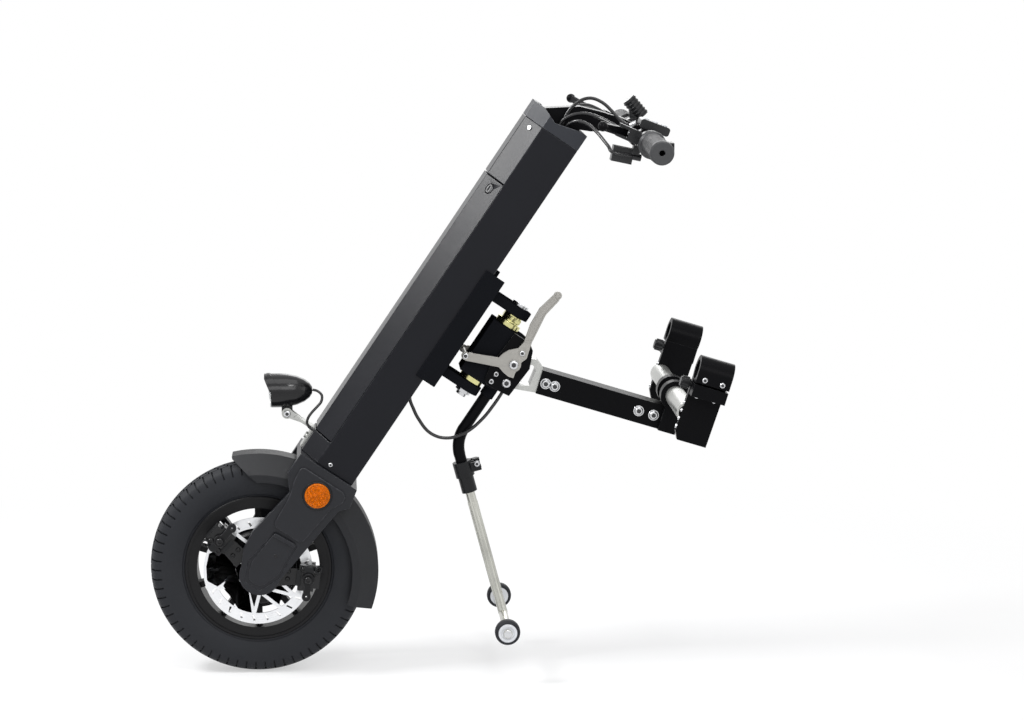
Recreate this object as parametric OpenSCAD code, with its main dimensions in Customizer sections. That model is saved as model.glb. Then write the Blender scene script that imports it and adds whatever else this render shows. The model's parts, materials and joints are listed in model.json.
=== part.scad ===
// Clip-on front drive for a wheeled chair: a powered wheel under a leaning battery column,
// a steering head, a docking arm with two frame clamps, and a parking stand on rollers.
// Millimetres. +X to the rear, +Y to the rider's right, +Z up, floor at z = 0.

/* [Wheel] */
// Outside diameter of the tyre
tyre_d = 318; // [306:1:320]
// Width of the tyre
tyre_w = 57; // [50:1:62]
// Diameter on which the tyre seats
bead_d = 206; // [200:1:212]
// Radius left open inside the rim
rim_open_r = 90; // [84:1:94]
// Radius of the hub motor
hub_r = 56; // [48:1:57]
// Width of the hub motor
hub_w = 60; // [50:1:64]
// Spokes of the cast wheel
spokes = 10; // [5:1:12]
// Diameter of the brake disc
disc_d = 160; // [150:1:164]
// Thickness of the brake disc
disc_t = 2.4; // [1.8:0.1:3]
// Distance from the middle plane to the middle of the brake disc
disc_y = 40; // [39:0.5:41]
// Diameter of the wheel axle
axle_d = 14; // [10:1:16]

/* [Fork] */
// Clear width between the fork legs
fork_gap = 100; // [98:1:104]
// Thickness of a fork leg
leg_t = 12; // [11:1:16]
// Height of the crown's top above the axle, along the column
crown_h = 184; // [183:1:192]
// Outer radius of the mudguard
guard_r = 177; // [174:1:178]
// Thickness of the mudguard
guard_t = 3; // [2:0.5:4]
// Radius of the reflector lens
lens_r = 18.5; // [14:0.5:20]

/* [Column] */
// Lean of the column from upright
lean = 34; // [32:1:36]
// Width of the column
col_w = 108; // [104:1:112]
// Depth of the column, front to back
col_d = 88; // [84:1:94]
// Distance from the column's front face to the line through the axle
col_front = 45; // [43:1:47]
// Size of the front chamfers
chamfer = 27; // [24:1:30]
// Wall of the column
col_wall = 3; // [2:0.5:4]
// Length of the column above the crown
col_len = 588; // [570:1:620]
// Height of the top cap
cap_h = 25; // [20:1:30]
// Length of the battery
battery_len = 449; // [420:1:460]
// Depth of the battery, front to back
battery_d = 56; // [48:1:62]
// Radius of the key lock
lock_r = 7; // [5:0.5:8]

/* [Steering] */
// Distance from the line through the axle back to the steering axis
steer_x = 107; // [105:1:110]
// Diameter of the steering bolt
steer_d = 16; // [12:1:20]
// Width of the steering arms
steer_arm_w = 42; // [34:1:44]
// Thickness of the steering arms
steer_arm_t = 14; // [10:1:16]
// Depth of the steering head
head_d = 55; // [50:1:57]
// Width of the steering head
head_w = 54; // [48:1:56]
// Thickness of the dock's side plates
plate_t = 5; // [4:0.5:6]
// Thickness of a latch lever plate
latch_t = 4; // [3:0.5:4]

/* [Arm and frame clamps] */
// Tilt of the arm, down to the rear
arm_tilt = 17; // [15:1:19]
// Height of the arm bar
arm_h = 36; // [32:1:40]
// Width of the arm bar
arm_w = 40; // [36:1:44]
// Length of the arm bar
arm_len = 188; // [184:1:200]
// Wall of the arm bar
arm_wall = 3; // [2:0.5:4]
// Diameter of the cross tube
cross_d = 30; // [26:1:32]
// Distance between the planes of the two frame clamps
clamp_span = 350; // [320:1:400]
// Diameter of the frame tube that a clamp holds
frame_tube_d = 28; // [25:0.5:30]
// Wall of a frame clamp
clamp_wall = 7; // [6:0.5:9]
// Length of a frame clamp along its tube
clamp_len = 50; // [44:1:56]
// Height of the frame tubes above the arm's middle line
clamp_rise = 104; // [98:1:112]

/* [Stand] */
// Distance from the wheel axle back to the rollers
roller_x = 363; // [350:1:376]
// Height of the rollers' axle
roller_z = 78.5; // [70:0.5:90]
// Diameter of a roller
roller_d = 37; // [32:1:44]
// Width of a roller
roller_w = 18; // [14:1:22]
// Distance between the rollers' middles
roller_span = 218; // [180:1:250]
// Diameter of the stand's leg tube
leg_d = 14; // [12:0.5:14]
// Diameter of the stand's upper tube
stand_d = 17; // [17:0.5:18]

/* [Headlight] */
// Diameter of the headlight
lamp_d = 50; // [44:1:54]
// Length of the headlight body
lamp_len = 60; // [54:1:64]

/* [Handlebar] */
// Width of the handlebar over the grips
bar_w = 564; // [540:2:600]
// Diameter of the handlebar tube
bar_d = 22.2; // [20:0.1:24]
// Distance of the handlebar behind the line through the axle
bar_x = 113; // [105:1:120]
// Height of the handlebar above the axle, along the column
bar_h = 840; // [836:1:850]
// Diameter of a grip
grip_d = 34; // [30:1:36]
// Length of a grip
grip_len = 124; // [110:1:126]
// Diameter of a push button
button_d = 9; // [7:0.5:10]
// Reach from the handlebar to a brake lever's pivot
lever_reach = 42; // [38:1:46]
// Upward turn of the left brake lever
lever_tilt_left = 24; // [0:1:30]
// Upward turn of the right brake lever
lever_tilt_right = 24; // [0:1:30]

/* [Fits] */
// Radial running clearance of shafts
run = 0.05; // [0.02:0.01:0.1]
// Gap between parts that slide or swing past each other
gap = 0.5; // [0.4:0.1:0.8]

/* [Hidden] */
$fn = 48;

// Heights and places of the front wheel
axle_z = tyre_d / 2;
axle_r = axle_d / 2;
bead_r = bead_d / 2;
disc_r = disc_d / 2;

// Arm frame: its front face lies behind the dock, measured from the axle
arm_front_x = 415;
arm_front_z = 432.5;

// The part's length runs from the tyre to the rear face of the frame clamps
clamp_mid_s = arm_len + 28;
clamp_top_r = frame_tube_d / 2 + clamp_wall;
rear_x = arm_front_x + (clamp_mid_s + clamp_len / 2) * cos(arm_tilt)
    + (clamp_rise + clamp_top_r) * sin(arm_tilt);
axle_x = -(rear_x - tyre_d / 2) / 2;

// Column section, seen along the column
col_back = col_d - col_front;
seam_x = chamfer - col_front;
cap_z = crown_h + col_len;
cap_top = cap_z + cap_h;

// Battery bay
battery_z = crown_h + 38;
battery_top = battery_z + battery_len;
bay_gap = 1.5;
battery_inner_drop = 6;
lock_z = battery_top - 15;

// Steering bracket and head, along the column
bracket_z0 = 372;
bracket_z1 = 556;
bracket_t = 4;
bracket_x0 = col_back - 13;
bracket_x1 = col_back + 19;
arm_low_z = 388;
arm_high_z = 520;
head_z0 = 411;
head_z1 = 500;
head_mid_x = steer_x + 3;
steer_r = steer_d / 2;
cup_r = 12;
plate_y0 = head_w / 2;
plate_y1 = plate_y0 + plate_t;
latch_y0 = plate_y1 + gap;
latch_y1 = latch_y0 + latch_t;

// Dock bolts, as places on the column frame
latch_pivot = [143, 461];
bolt_b = [150, 432];
bolt_c = [130, 435];
bolt_d = [130, 422];
dock_bolt_r = 5;

// Arm bolts along the arm
arm_bolts_s = [10, 24, arm_len - 34, arm_len - 11];
arm_bolt_r = 4;

// Cross tube in the arm frame
cross_s = arm_len + 10;
cross_t = arm_h / 2 + 20;
cross_r = cross_d / 2;
saddle_w = 64;
saddle_wall = 7;
clamp_plate_t = 12;
clamp_y = clamp_span / 2;
clamp_plate_y = clamp_y - 10;
cross_end = clamp_plate_y + clamp_plate_t / 2 - 4;
knob_t = clamp_rise - 24;
knob_r = 9;
knob_stud_r = 4;

// Stand: the upper tube runs beside the steering axis, then bends to the rollers
stand_x = steer_x + 33;
stand_top_z = head_z0;
stand_bend_z = 316;
stand_r = stand_d / 2;
stand_leg_r = leg_d / 2;
stand_bend_r = 50;
bend_wx = stand_x * cos(lean) + stand_bend_z * sin(lean);
bend_wz = axle_z - stand_x * sin(lean) + stand_bend_z * cos(lean);
leg_tilt = atan((roller_x - bend_wx) / (bend_wz - roller_z));
leg_reach = sqrt(pow(roller_x - bend_wx, 2) + pow(bend_wz - roller_z, 2));
bend_angle = lean + leg_tilt;
bend_tangent = stand_bend_r * tan(bend_angle / 2);
bend_lap = 3;
// Heights along the leg, from the rollers' axle
collar_z0 = leg_reach - 56;
collar_z1 = leg_reach - 33;
sleeve_z0 = leg_reach - 80;
leg_top_z = leg_reach - 38;
collar_r = 14;
sleeve_r = 11.5;
collar_pivot_x = collar_r + 7;
collar_pivot_z = (collar_z0 + collar_z1) / 2;
roller_r = roller_d / 2;
roller_pin_r = 4;
roller_y0 = roller_span / 2 - roller_w / 2;
roller_y1 = roller_span / 2 + roller_w / 2;

// Headlight, from the wheel axle
lamp_pivot = [45, 387.5];
lamp_r = lamp_d / 2;
lamp_axis_z = lamp_pivot[1] + lamp_r + 8;
lamp_front_x = 22;
lamp_pin_r = 3;

// Handlebar, across the column frame
bar_r = bar_d / 2;
grip_r = grip_d / 2;
bar_end = bar_w / 2;
grip_y0 = bar_end - grip_len;
throttle_y1 = grip_y0 - 1;
throttle_y0 = throttle_y1 - 10;
perch_y1 = throttle_y0 - 16;
perch_y0 = perch_y1 - 22;
perch_mid = (perch_y0 + perch_y1) / 2;
throttle_sleeve_r = bar_r + 2;
pod_w = 40;
pod_gap = 17;
stem_half_w = 14;
stem_boss = stem_half_w + 6;
pod_y1 = max(perch_y0 - pod_gap, stem_boss + gap + pod_w);
pod_y0 = pod_y1 - pod_w;
pod_tilt = 21;
pod_z = bar_r + 4;
pod_h = 13;
pod_round = 4;
pod_len = 44;
pod_x = 4;
button_pitch = 14;
button_travel = 1.2;
lever_pin_r = 3.5;
lever_half_t = 5;
lever_tip_y = bar_end - 20;
lever_tip_x = lever_reach + 48;

// Brakes
caliper_r = 74;
caliper_front_a = 171;
caliper_rear_a = 27;
pad_gap = 0.4;
pad_t = 1.8;
caliper_y0 = disc_y - 13;
caliper_y1 = disc_y + 18;
caliper_pin_r = 4;

// Routes of the cables, from the wheel axle: round numbers along their real runs
dock_cable_d = 5;
dock_route = [[224.6, -15, 411.5], [226, -15, 404], [230, -15, 394], [236, -15, 381], [249, -15, 362],
    [264, -15, 352], [280, -14, 349], [296, -14, 352], [315, -14, 362], [334, -12, 379], [348, -9, 396],
    [358, -7, 410], [365, -6, 421.5]];
lamp_cable_d = 4;
lamp_route = [[82.5, 0, 421], [90, -1, 419], [96, -3, 413], [95, -6, 404], [88, -9, 396],
    [81, -12, 389], [76, -14, 382], [74, -15, 375], [77, -15, 368], [82.8, -15, 363.7]];
cable_d = 5;
cable_a = [[441, -22, 798.5], [446, -22, 808], [451, -22, 820], [460, -23, 834], [475, -26, 846],
    [490, -31, 849], [505, -38, 843], [517, -46, 832], [527, -54, 821], [536, -59, 814],
    [544, -63, 813], [551.4, -66, 816.4]];
cable_b = [[436, -36, 802], [442, -36, 811], [450, -37, 820], [465, -42, 827], [482, -50, 828],
    [499, -62, 823], [512, -77, 817], [523, -90, 811], [531.5, -99.5, 807], [538.5, -106.6, 804.5]];
cable_c = [[446, 26, 795.2], [450, 26, 806], [457, 27, 819], [470, 32, 831], [488, 46, 834],
    [506, 64, 827], [520, 82, 818], [529, 95, 810], [536, 101.5, 805], [543.2, 106.7, 801.2]];
cable_e = [[444.4, -39, 796.5], [449, -40, 805], [456, -43, 813], [467, -51, 818], [481, -61, 814],
    [493, -73, 804], [502, -86, 793], [508, -97, 785], [510.5, -105, 779.5], [519, -107.5, 776],
    [530, -107, 774], [541, -106, 772.2]];

// Frames

module at_axle() {
    translate([axle_x, 0, axle_z]) children();
}

// X across the column to the rear, Z along the column from the axle
module on_column() {
    at_axle() rotate([0, lean, 0]) children();
}

// X along the arm to the rear, Z up across the arm
module on_arm() {
    translate([axle_x + arm_front_x, 0, arm_front_z]) rotate([0, arm_tilt, 0]) children();
}

// Z up along the stand's leg from the rollers' axle
module on_leg() {
    translate([axle_x + roller_x, 0, roller_z]) rotate([0, -leg_tilt, 0]) children();
}

// World directions at the middle of the handlebar
module at_bar() {
    on_column() translate([bar_x, 0, bar_h]) rotate([0, -lean, 0]) children();
}

// An outline in the XZ plane, given thickness along Y
module slab(y0, y1) {
    translate([0, y1, 0]) rotate([90, 0, 0]) linear_extrude(height = y1 - y0) children();
}

// A round bar along Y
module bar_y(r, y0, y1, x = 0, z = 0) {
    translate([x, y1, z]) rotate([90, 0, 0]) cylinder(r = r, h = y1 - y0);
}

// A profile of [radius, y] points turned about Y
module turned_y(points) {
    rotate([90, 0, 0]) rotate_extrude($fn = 96) polygon([for (p = points) [p[0], -p[1]]]);
}

// Both sides of the middle plane
module both_sides() {
    children();
    mirror([0, 1, 0]) children();
}

// Column section drawn in by i, seen along the column
function col_section(i) = let (k = i * tan(22.5)) [
    [-col_front + i, -(col_w / 2 - chamfer - k)], [seam_x + k, -(col_w / 2 - i)],
    [col_back - i, -(col_w / 2 - i)], [col_back - i, col_w / 2 - i],
    [seam_x + k, col_w / 2 - i], [-col_front + i, col_w / 2 - chamfer - k]];

// A tube swept along a route, as one closed solid
function unit(v) = v / norm(v);
function tangent(p, i) = unit(p[min(i + 1, len(p) - 1)] - p[max(i - 1, 0)]);
function ring_side(t) = unit(cross(t, [0.2, 1, 0.1]));
module cable(p, d, sides = 10) {
    n = len(p);
    rings = [for (i = [0 : n - 1]) let (t = tangent(p, i), a = ring_side(t), b = cross(t, a))
        for (j = [0 : sides - 1])
            p[i] + d / 2 * (a * cos(360 * j / sides) + b * sin(360 * j / sides))];
    walls = [for (i = [0 : n - 2]) for (j = [0 : sides - 1]) let (k = (j + 1) % sides)
        each [[i * sides + j, i * sides + k, (i + 1) * sides + k],
            [i * sides + j, (i + 1) * sides + k, (i + 1) * sides + j]]];
    ends = [[for (j = [sides - 1 : -1 : 0]) j], [for (j = [0 : sides - 1]) (n - 1) * sides + j]];
    translate([axle_x, 0, 0]) polyhedron(points = rings, faces = concat(walls, ends));
}

// Front wheel

tyre_wall = 6;
tyre_mid_r = (tyre_d / 2 + bead_r) / 2;
tyre_half_h = tyre_d / 2 - tyre_mid_r;
bead_half_w = 20;

function tyre_arc(grow) = [for (a = [-132 : 12 : 132])
    [tyre_mid_r + (tyre_half_h + grow) * cos(a), (tyre_w / 2 + grow) * sin(a)]];

module tyre() {
    inner = tyre_arc(-tyre_wall);
    color([0.11, 0.12, 0.14]) at_axle() turned_y(concat(
        [[bead_r, -bead_half_w]], tyre_arc(0), [[bead_r, bead_half_w],
        [bead_r, bead_half_w - tyre_wall]], [for (i = [len(inner) - 1 : -1 : 0]) inner[i]],
        [[bead_r, -bead_half_w + tyre_wall]]));
}

flange_t = 3;
flange_h = 5;
spoke_w = 9;
spoke_t = 18;
hub_ring_r = hub_r + 6;
hub_ring_t = spoke_t + 4;

module wheel_rim() {
    seat = bead_r - run;
    side = bead_half_w + 1.5 * gap;
    color([0.07, 0.07, 0.08]) at_axle() union() {
        turned_y([[rim_open_r, -side - flange_t], [seat + flange_h, -side - flange_t],
            [seat + flange_h, -side], [seat, -side], [seat, side], [seat + flange_h, side],
            [seat + flange_h, side + flange_t], [rim_open_r, side + flange_t]]);
        turned_y([[hub_r + run, -hub_ring_t / 2], [hub_ring_r, -hub_ring_t / 2],
            [hub_ring_r, hub_ring_t / 2], [hub_r + run, hub_ring_t / 2]]);
        for (k = [0 : spokes - 1])
            rotate([0, 360 * (k + 0.5) / spokes, 0])
                translate([hub_ring_r - 2, -spoke_t / 2, -spoke_w / 2])
                    cube([rim_open_r - hub_ring_r + 4, spoke_t, spoke_w]);
    }
}

disc_seat_r = 34;
disc_inner_y = disc_y - disc_t / 2;

module hub_motor() {
    color([0.09, 0.09, 0.1]) at_axle() turned_y([[axle_r + run, -disc_inner_y],
        [disc_seat_r, -disc_inner_y], [disc_seat_r, -hub_w / 2], [hub_r - 4, -hub_w / 2],
        [hub_r, -hub_w / 2 + 4], [hub_r, hub_w / 2 - 4], [hub_r - 4, hub_w / 2],
        [disc_seat_r - 8, hub_w / 2], [disc_seat_r - 8, disc_inner_y],
        [axle_r + run, disc_inner_y]]);
}

disc_ring_w = 16;
disc_arms = 6;
disc_slots = 24;
disc_hub_r = 22;

// One straight bar in the plane of the disc, from a place on its hub to a place on its ring
module disc_bar(r0, a0, r1, a1, w) {
    p = [r0 * cos(a0), r0 * sin(a0)];
    q = [r1 * cos(a1), r1 * sin(a1)];
    translate(p) rotate(atan2(q[1] - p[1], q[0] - p[0])) translate([0, -w / 2])
        square([norm(q - p), w]);
}

module brake_disc() {
    ring_in = disc_r - disc_ring_w;
    color([0.86, 0.86, 0.87]) at_axle() slab(-disc_y - disc_t / 2, -disc_y + disc_t / 2) {
        difference() {
            circle(disc_r, $fn = 120);
            circle(ring_in, $fn = 120);
            for (k = [0 : disc_slots - 1])
                rotate(360 * k / disc_slots + 8) translate([disc_r - disc_ring_w / 2 - 4, -2])
                    rotate(25) square([9, 3]);
        }
        difference() {
            circle(disc_seat_r);
            circle(disc_hub_r);
        }
        for (k = [0 : disc_arms - 1]) {
            a = 360 * k / disc_arms;
            disc_bar(disc_seat_r - 2, a, ring_in + 2, a + 24, 5);
            disc_bar(disc_seat_r - 2, a + 34, ring_in + 2, a + 24, 5);
            disc_bar(disc_seat_r - 2, a + 34, ring_in + 2, a + 60, 5);
        }
    }
}

leg_y0 = fork_gap / 2;
leg_y1 = leg_y0 + leg_t;
leg_skin = 2;

module wheel_axle() {
    color([0.7, 0.7, 0.72]) at_axle() bar_y(axle_r, -leg_y1 + leg_skin, leg_y1 - leg_skin);
}

// Fork

leg_outline = [[-46, crown_h], [52, crown_h], [58, 155], [47, 143], [31, -6], [-25, -6], [-38, 20],
    [-41, 50], [-37, 72], [-28, 127], [-46, 149]];
leg_end_r = 30;
leg_end_x = 3.5;
leg_panel = [[-14, 66], [25, 66], [30, 12], [16, -20], [-10, -20], [-22, 8]];
leg_panel_depth = 1.5;
leg_hole_r = 2.5;
leg_hole = [7, 37];

// A leg on the right-hand side, with a blind seat for the axle and a shallow panel outside
module fork_leg() {
    difference() {
        union() {
            slab(leg_y0, leg_y1) polygon(leg_outline);
            bar_y(leg_end_r, leg_y0, leg_y1, leg_end_x, 0);
        }
        bar_y(axle_r + run, leg_y0 - 1, leg_y1 - leg_skin);
        slab(leg_y1 - leg_panel_depth, leg_y1 + 1) polygon(leg_panel);
        bar_y(leg_hole_r, leg_y1 - 4, leg_y1 + 1, leg_hole[0], leg_hole[1]);
    }
}

module fork_leg_right() {
    color([0.13, 0.13, 0.15]) on_column() fork_leg();
}

module fork_leg_left() {
    color([0.13, 0.13, 0.15]) on_column() mirror([0, 1, 0]) fork_leg();
}

spigot_h = 30;
spigot_fit = 0.2;
guard_drop = 6;
crown_t = crown_h - guard_r + guard_drop * cos(lean) - 0.2;

module fork_crown() {
    color([0.12, 0.12, 0.14]) on_column() union() {
        slab(-leg_y0, leg_y0) translate([-46, crown_h - crown_t]) square([98, crown_t]);
        translate([0, 0, crown_h]) linear_extrude(height = spigot_h)
            polygon(col_section(col_wall + spigot_fit));
    }
}

guard_flat = 18;
guard_half_w = 43;
guard_bevel_r = guard_r - 27;
guard_skirt_r = guard_r - 39;
guard_front_a = 136;
guard_rear_a = 14;
guard_front_cut = [[-170, 126], [-50, 111], [-50, 40], [-170, 40]];

module mudguard() {
    t = guard_t;
    outer = [[guard_skirt_r, -guard_half_w], [guard_bevel_r, -guard_half_w], [guard_r, -guard_flat],
        [guard_r, guard_flat], [guard_bevel_r, guard_half_w], [guard_skirt_r, guard_half_w]];
    inner = [[guard_skirt_r, guard_half_w - t], [guard_bevel_r - t / 2, guard_half_w - t],
        [guard_r - t, guard_flat - t / 2], [guard_r - t, -guard_flat + t / 2],
        [guard_bevel_r - t / 2, -guard_half_w + t], [guard_skirt_r, -guard_half_w + t]];
    color([0.17, 0.17, 0.18]) on_column()
        translate([guard_drop * sin(lean), 0, -guard_drop * cos(lean)]) difference() {
            rotate([90, 0, 0]) rotate([0, 0, guard_rear_a])
                rotate_extrude(angle = guard_front_a - guard_rear_a, $fn = 120)
                    polygon(concat(outer, inner));
            slab(-col_w, col_w) polygon(guard_front_cut);
        }
}

reflector_at = [8, 146];
bezel_r = lens_r + 3.5;
bezel_t = 4;

module reflector_bezels() {
    color([0.06, 0.06, 0.06]) on_column() both_sides() translate([reflector_at[0], 0, reflector_at[1]])
        turned_y([[lens_r + run, leg_y1 + 1.5], [lens_r + run, leg_y1 + bezel_t],
            [bezel_r - 1.5, leg_y1 + bezel_t], [bezel_r, leg_y1 + bezel_t - 1.5], [bezel_r, leg_y1],
            [0, leg_y1], [0, leg_y1 + 1.5]]);
}

module reflector_lenses() {
    y = leg_y1 + 1.5;
    color([0.95, 0.45, 0.05]) on_column() both_sides() translate([reflector_at[0], 0, reflector_at[1]])
        turned_y([[0, y], [lens_r, y], [lens_r, y + 2.6], [lens_r * 0.7, y + 4.2], [0, y + 5]]);
}

// Brakes: X runs outward along the caliper's radius

module at_caliper(a) {
    on_column() rotate([0, -a, 0]) translate([caliper_r, 0, 0]) children();
}

caliper_half_l = 19;
caliper_in = hub_r + 3.5 - caliper_r;
caliper_out = 17;
caliper_mouth = disc_t / 2 + pad_gap + pad_t;
caliper_tab_t = 4;

module caliper(tab) {
    difference() {
        translate([caliper_in, -caliper_y1, -caliper_half_l])
            cube([caliper_out - caliper_in, caliper_y1 - caliper_y0, 2 * caliper_half_l]);
        translate([caliper_in - 1, -disc_y - caliper_mouth, -caliper_half_l - 1])
            cube([disc_r - caliper_r - caliper_in + 2.5, 2 * caliper_mouth, 2 * caliper_half_l + 2]);
        for (s = [-1, 1])
            translate([caliper_out - 8, -caliper_y1 - 1, s * caliper_half_l - 5])
                cube([9, caliper_y1 - caliper_y0 + 2, 10]);
    }
    translate([0, -leg_y0, 0]) slab(0, caliper_tab_t) polygon(tab);
    bar_y(caliper_pin_r, -caliper_y1 - 9, -caliper_y1 + 1);
}

// Mounting tabs that lie on the inside of the left leg, in each caliper's own directions
front_tab = [[-14, -12], [-14, 12], [-46, 16], [-46, -12]];
rear_tab = [[-14, -12], [-14, 12], [-44, 10], [-44, -18]];

module calipers() {
    color([0.06, 0.06, 0.07]) union() {
        at_caliper(caliper_front_a) caliper(front_tab);
        at_caliper(caliper_rear_a) caliper(rear_tab);
    }
}

caliper_arm_len = 26;

// The arm that the brake cable pulls, on the outside of a caliper
module caliper_arm(side) {
    y1 = -caliper_y1 - gap;
    color([0.1, 0.1, 0.11]) difference() {
        slab(y1 - 7, y1) {
            circle(9);
            translate([-5, min(0, side * caliper_arm_len)]) square([10, caliper_arm_len]);
            translate([0, side * caliper_arm_len]) circle(6.5);
        }
        bar_y(caliper_pin_r + run, y1 - 8, y1 + 1);
        bar_y(1.6, y1 - 8, y1 + 1, 0, side * caliper_arm_len);
    }
}

module caliper_arm_front() {
    at_caliper(caliper_front_a) caliper_arm(-1);
}

module caliper_arm_rear() {
    at_caliper(caliper_rear_a) caliper_arm(-1);
}

module brake_pads() {
    color([0.35, 0.3, 0.25]) for (a = [caliper_front_a, caliper_rear_a])
        at_caliper(a) for (s = [-1, 1])
            translate([-7, -disc_y + s * (disc_t / 2 + pad_gap + pad_t / 2) - pad_t / 2, -12])
                cube([12, pad_t, 24]);
}

// Column

module column_shell() {
    color([0.1, 0.1, 0.12]) on_column() difference() {
        translate([0, 0, crown_h]) linear_extrude(height = col_len) difference() {
            polygon(col_section(0));
            polygon(col_section(col_wall));
        }
        translate([-col_front - 1, -col_w, battery_z - bay_gap])
            cube([col_front + seam_x + 1, 2 * col_w, battery_len + 2 * bay_gap]);
    }
}

cap_floor = 4;
cap_rim = 9;
notch_drop = 10;
post_x = 16;
post_r = 14;

module column_top_cap() {
    color([0.15, 0.15, 0.17]) on_column() difference() {
        translate([0, 0, cap_z]) linear_extrude(height = cap_h) polygon(col_section(0));
        translate([0, 0, cap_z + cap_floor]) linear_extrude(height = cap_h)
            polygon(col_section(cap_rim));
        translate([post_x, 0, cap_z - 1]) cylinder(r = post_r + run, h = cap_floor + 2);
        slab(-col_w, col_w) polygon([[-32, cap_top + 1], [-6, cap_top - notch_drop],
            [34, cap_top + 1]]);
    }
}

controller_h = 64;
controller_w = 80;
controller_d = 34;

module controller() {
    color([0.5, 0.5, 0.52]) on_column()
        translate([col_back - col_wall - controller_d, -controller_w / 2, battery_top + 18])
            cube([controller_d, controller_w, controller_h]);
}

screw_r = 3.5;
screw_h = 2;

// Screws on the column's sides, and the nuts inside the fork legs
module front_fasteners() {
    color([0.75, 0.75, 0.77]) union() {
        on_column() both_sides() {
            bar_y(screw_r, col_w / 2, col_w / 2 + screw_h, 0, crown_h + 9);
            translate([-col_front + chamfer / 2, col_w / 2 - chamfer / 2, cap_z - 11])
                rotate([0, 0, 45]) rotate([-90, 0, 0]) cylinder(r = screw_r, h = screw_h);
        }
        at_axle() both_sides() difference() {
            translate([0, leg_y0, 0]) rotate([90, 0, 0]) cylinder(r = axle_r + 4.5, h = 6.5, $fn = 6);
            bar_y(axle_r + run, leg_y0 - 8, leg_y0 + 1);
        }
    }
}

case_wall = 3;
case_fit = 0.4;
// The battery tilts out on its rounded foot
foot_r = 3;

// Battery section: the column's front, and the part that lies inside its walls
module battery_section(i) {
    edge = col_w / 2 - col_wall * (1 + tan(22.5)) - case_fit;
    intersection() {
        polygon(col_section(i));
        translate([-col_front, -col_w / 2])
            square([col_front + seam_x - gap / 2 - i, col_w]);
    }
    inner_x = seam_x + col_wall * tan(22.5) + case_fit;
    translate([inner_x + i, -edge + i])
        square([battery_d - col_front - inner_x - 2 * i, 2 * (edge - i)]);
    translate([-col_front + i, -(col_w / 2 - chamfer)])
        square([battery_d - 2 * i, col_w - 2 * chamfer]);
}

// Frame of the key lock: Z points out of the left chamfer
module at_lock() {
    on_column() translate([-col_front + chamfer / 2, -(col_w / 2 - chamfer / 2), lock_z])
        rotate([0, 0, -135]) rotate([0, 90, 0]) children();
}

lock_depth = 12;

module battery_case() {
    inner_top = battery_top - battery_inner_drop;
    color([0.12, 0.12, 0.14]) difference() {
        on_column() difference() {
            translate([0, 0, battery_z]) linear_extrude(height = battery_len) battery_section(0);
            translate([0, 0, battery_z + case_wall]) linear_extrude(height = battery_len - 38)
                battery_section(case_wall);
            translate([seam_x - gap / 2, -col_w, inner_top])
                cube([col_d, 2 * col_w, battery_inner_drop + 1]);
            slab(-col_w, col_w) difference() {
                translate([-col_front - 1, battery_z - 1]) square(foot_r + 1);
                translate([-col_front + foot_r, battery_z + foot_r]) circle(foot_r);
            }
        }
        at_lock() translate([0, 0, -lock_depth]) cylinder(r = lock_r + run, h = lock_depth + 2);
    }
}

module battery_cells() {
    i = case_wall + gap;
    color([0.2, 0.35, 0.5]) on_column() translate([0, 0, battery_z + case_wall])
        linear_extrude(height = battery_len - 40) battery_section(i);
}

module battery_lock() {
    color([0.7, 0.7, 0.72]) at_lock() difference() {
        translate([0, 0, -lock_depth + 0.3]) cylinder(r = lock_r, h = lock_depth + 0.7);
        translate([-4, -0.9, -1]) cube([8, 1.8, 4]);
    }
}

// Steering

module steering_bracket() {
    color([0.08, 0.08, 0.09]) on_column() difference() {
        union() {
            both_sides() slab(col_w / 2, col_w / 2 + bracket_t)
                translate([bracket_x0, bracket_z0])
                    square([bracket_x1 - bracket_x0, bracket_z1 - bracket_z0]);
            slab(-col_w / 2 - bracket_t, col_w / 2 + bracket_t)
                translate([col_back, bracket_z0]) square([bracket_t, bracket_z1 - bracket_z0]);
            for (z = [arm_low_z, arm_high_z])
                translate([0, 0, z]) linear_extrude(height = steer_arm_t) {
                    translate([col_back, -steer_arm_w / 2])
                        square([steer_x - col_back, steer_arm_w]);
                    translate([steer_x, 0]) circle(steer_arm_w / 2);
                }
        }
        translate([steer_x, 0, arm_low_z - 1])
            cylinder(r = steer_r, h = arm_high_z - arm_low_z + steer_arm_t + 2);
    }
}

steer_head_r = 13;
steer_head_h = 5;

module steering_bolt() {
    top = arm_high_z + steer_arm_t;
    color([0.6, 0.6, 0.62]) on_column() translate([steer_x, 0, 0]) union() {
        translate([0, 0, arm_low_z]) cylinder(r = steer_r, h = top - arm_low_z);
        translate([0, 0, top]) cylinder(r = steer_head_r, h = steer_head_h);
        translate([0, 0, arm_low_z - 6]) cylinder(r = steer_head_r - 1, h = 6, $fn = 6);
        translate([0, 0, arm_low_z - 11]) cylinder(r = steer_r, h = 11);
    }
}

stand_boss_r = 10.5;
stand_boss_h = 15;

module steering_head() {
    color([0.06, 0.06, 0.07]) on_column() difference() {
        union() {
            translate([head_mid_x - head_d / 2, -head_w / 2, head_z0])
                cube([head_d, head_w, head_z1 - head_z0]);
            translate([stand_x, 0, stand_top_z - stand_boss_h])
                cylinder(r = stand_boss_r, h = stand_boss_h + 14);
        }
        translate([steer_x, 0, head_z0 - 1]) cylinder(r = cup_r + run, h = head_z1 - head_z0 + 2);
        translate([stand_x, 0, stand_top_z - stand_boss_h - 1])
            cylinder(r = stand_r + run, h = stand_boss_h + 13);
    }
}

cup_flange_r = 19;

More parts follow.
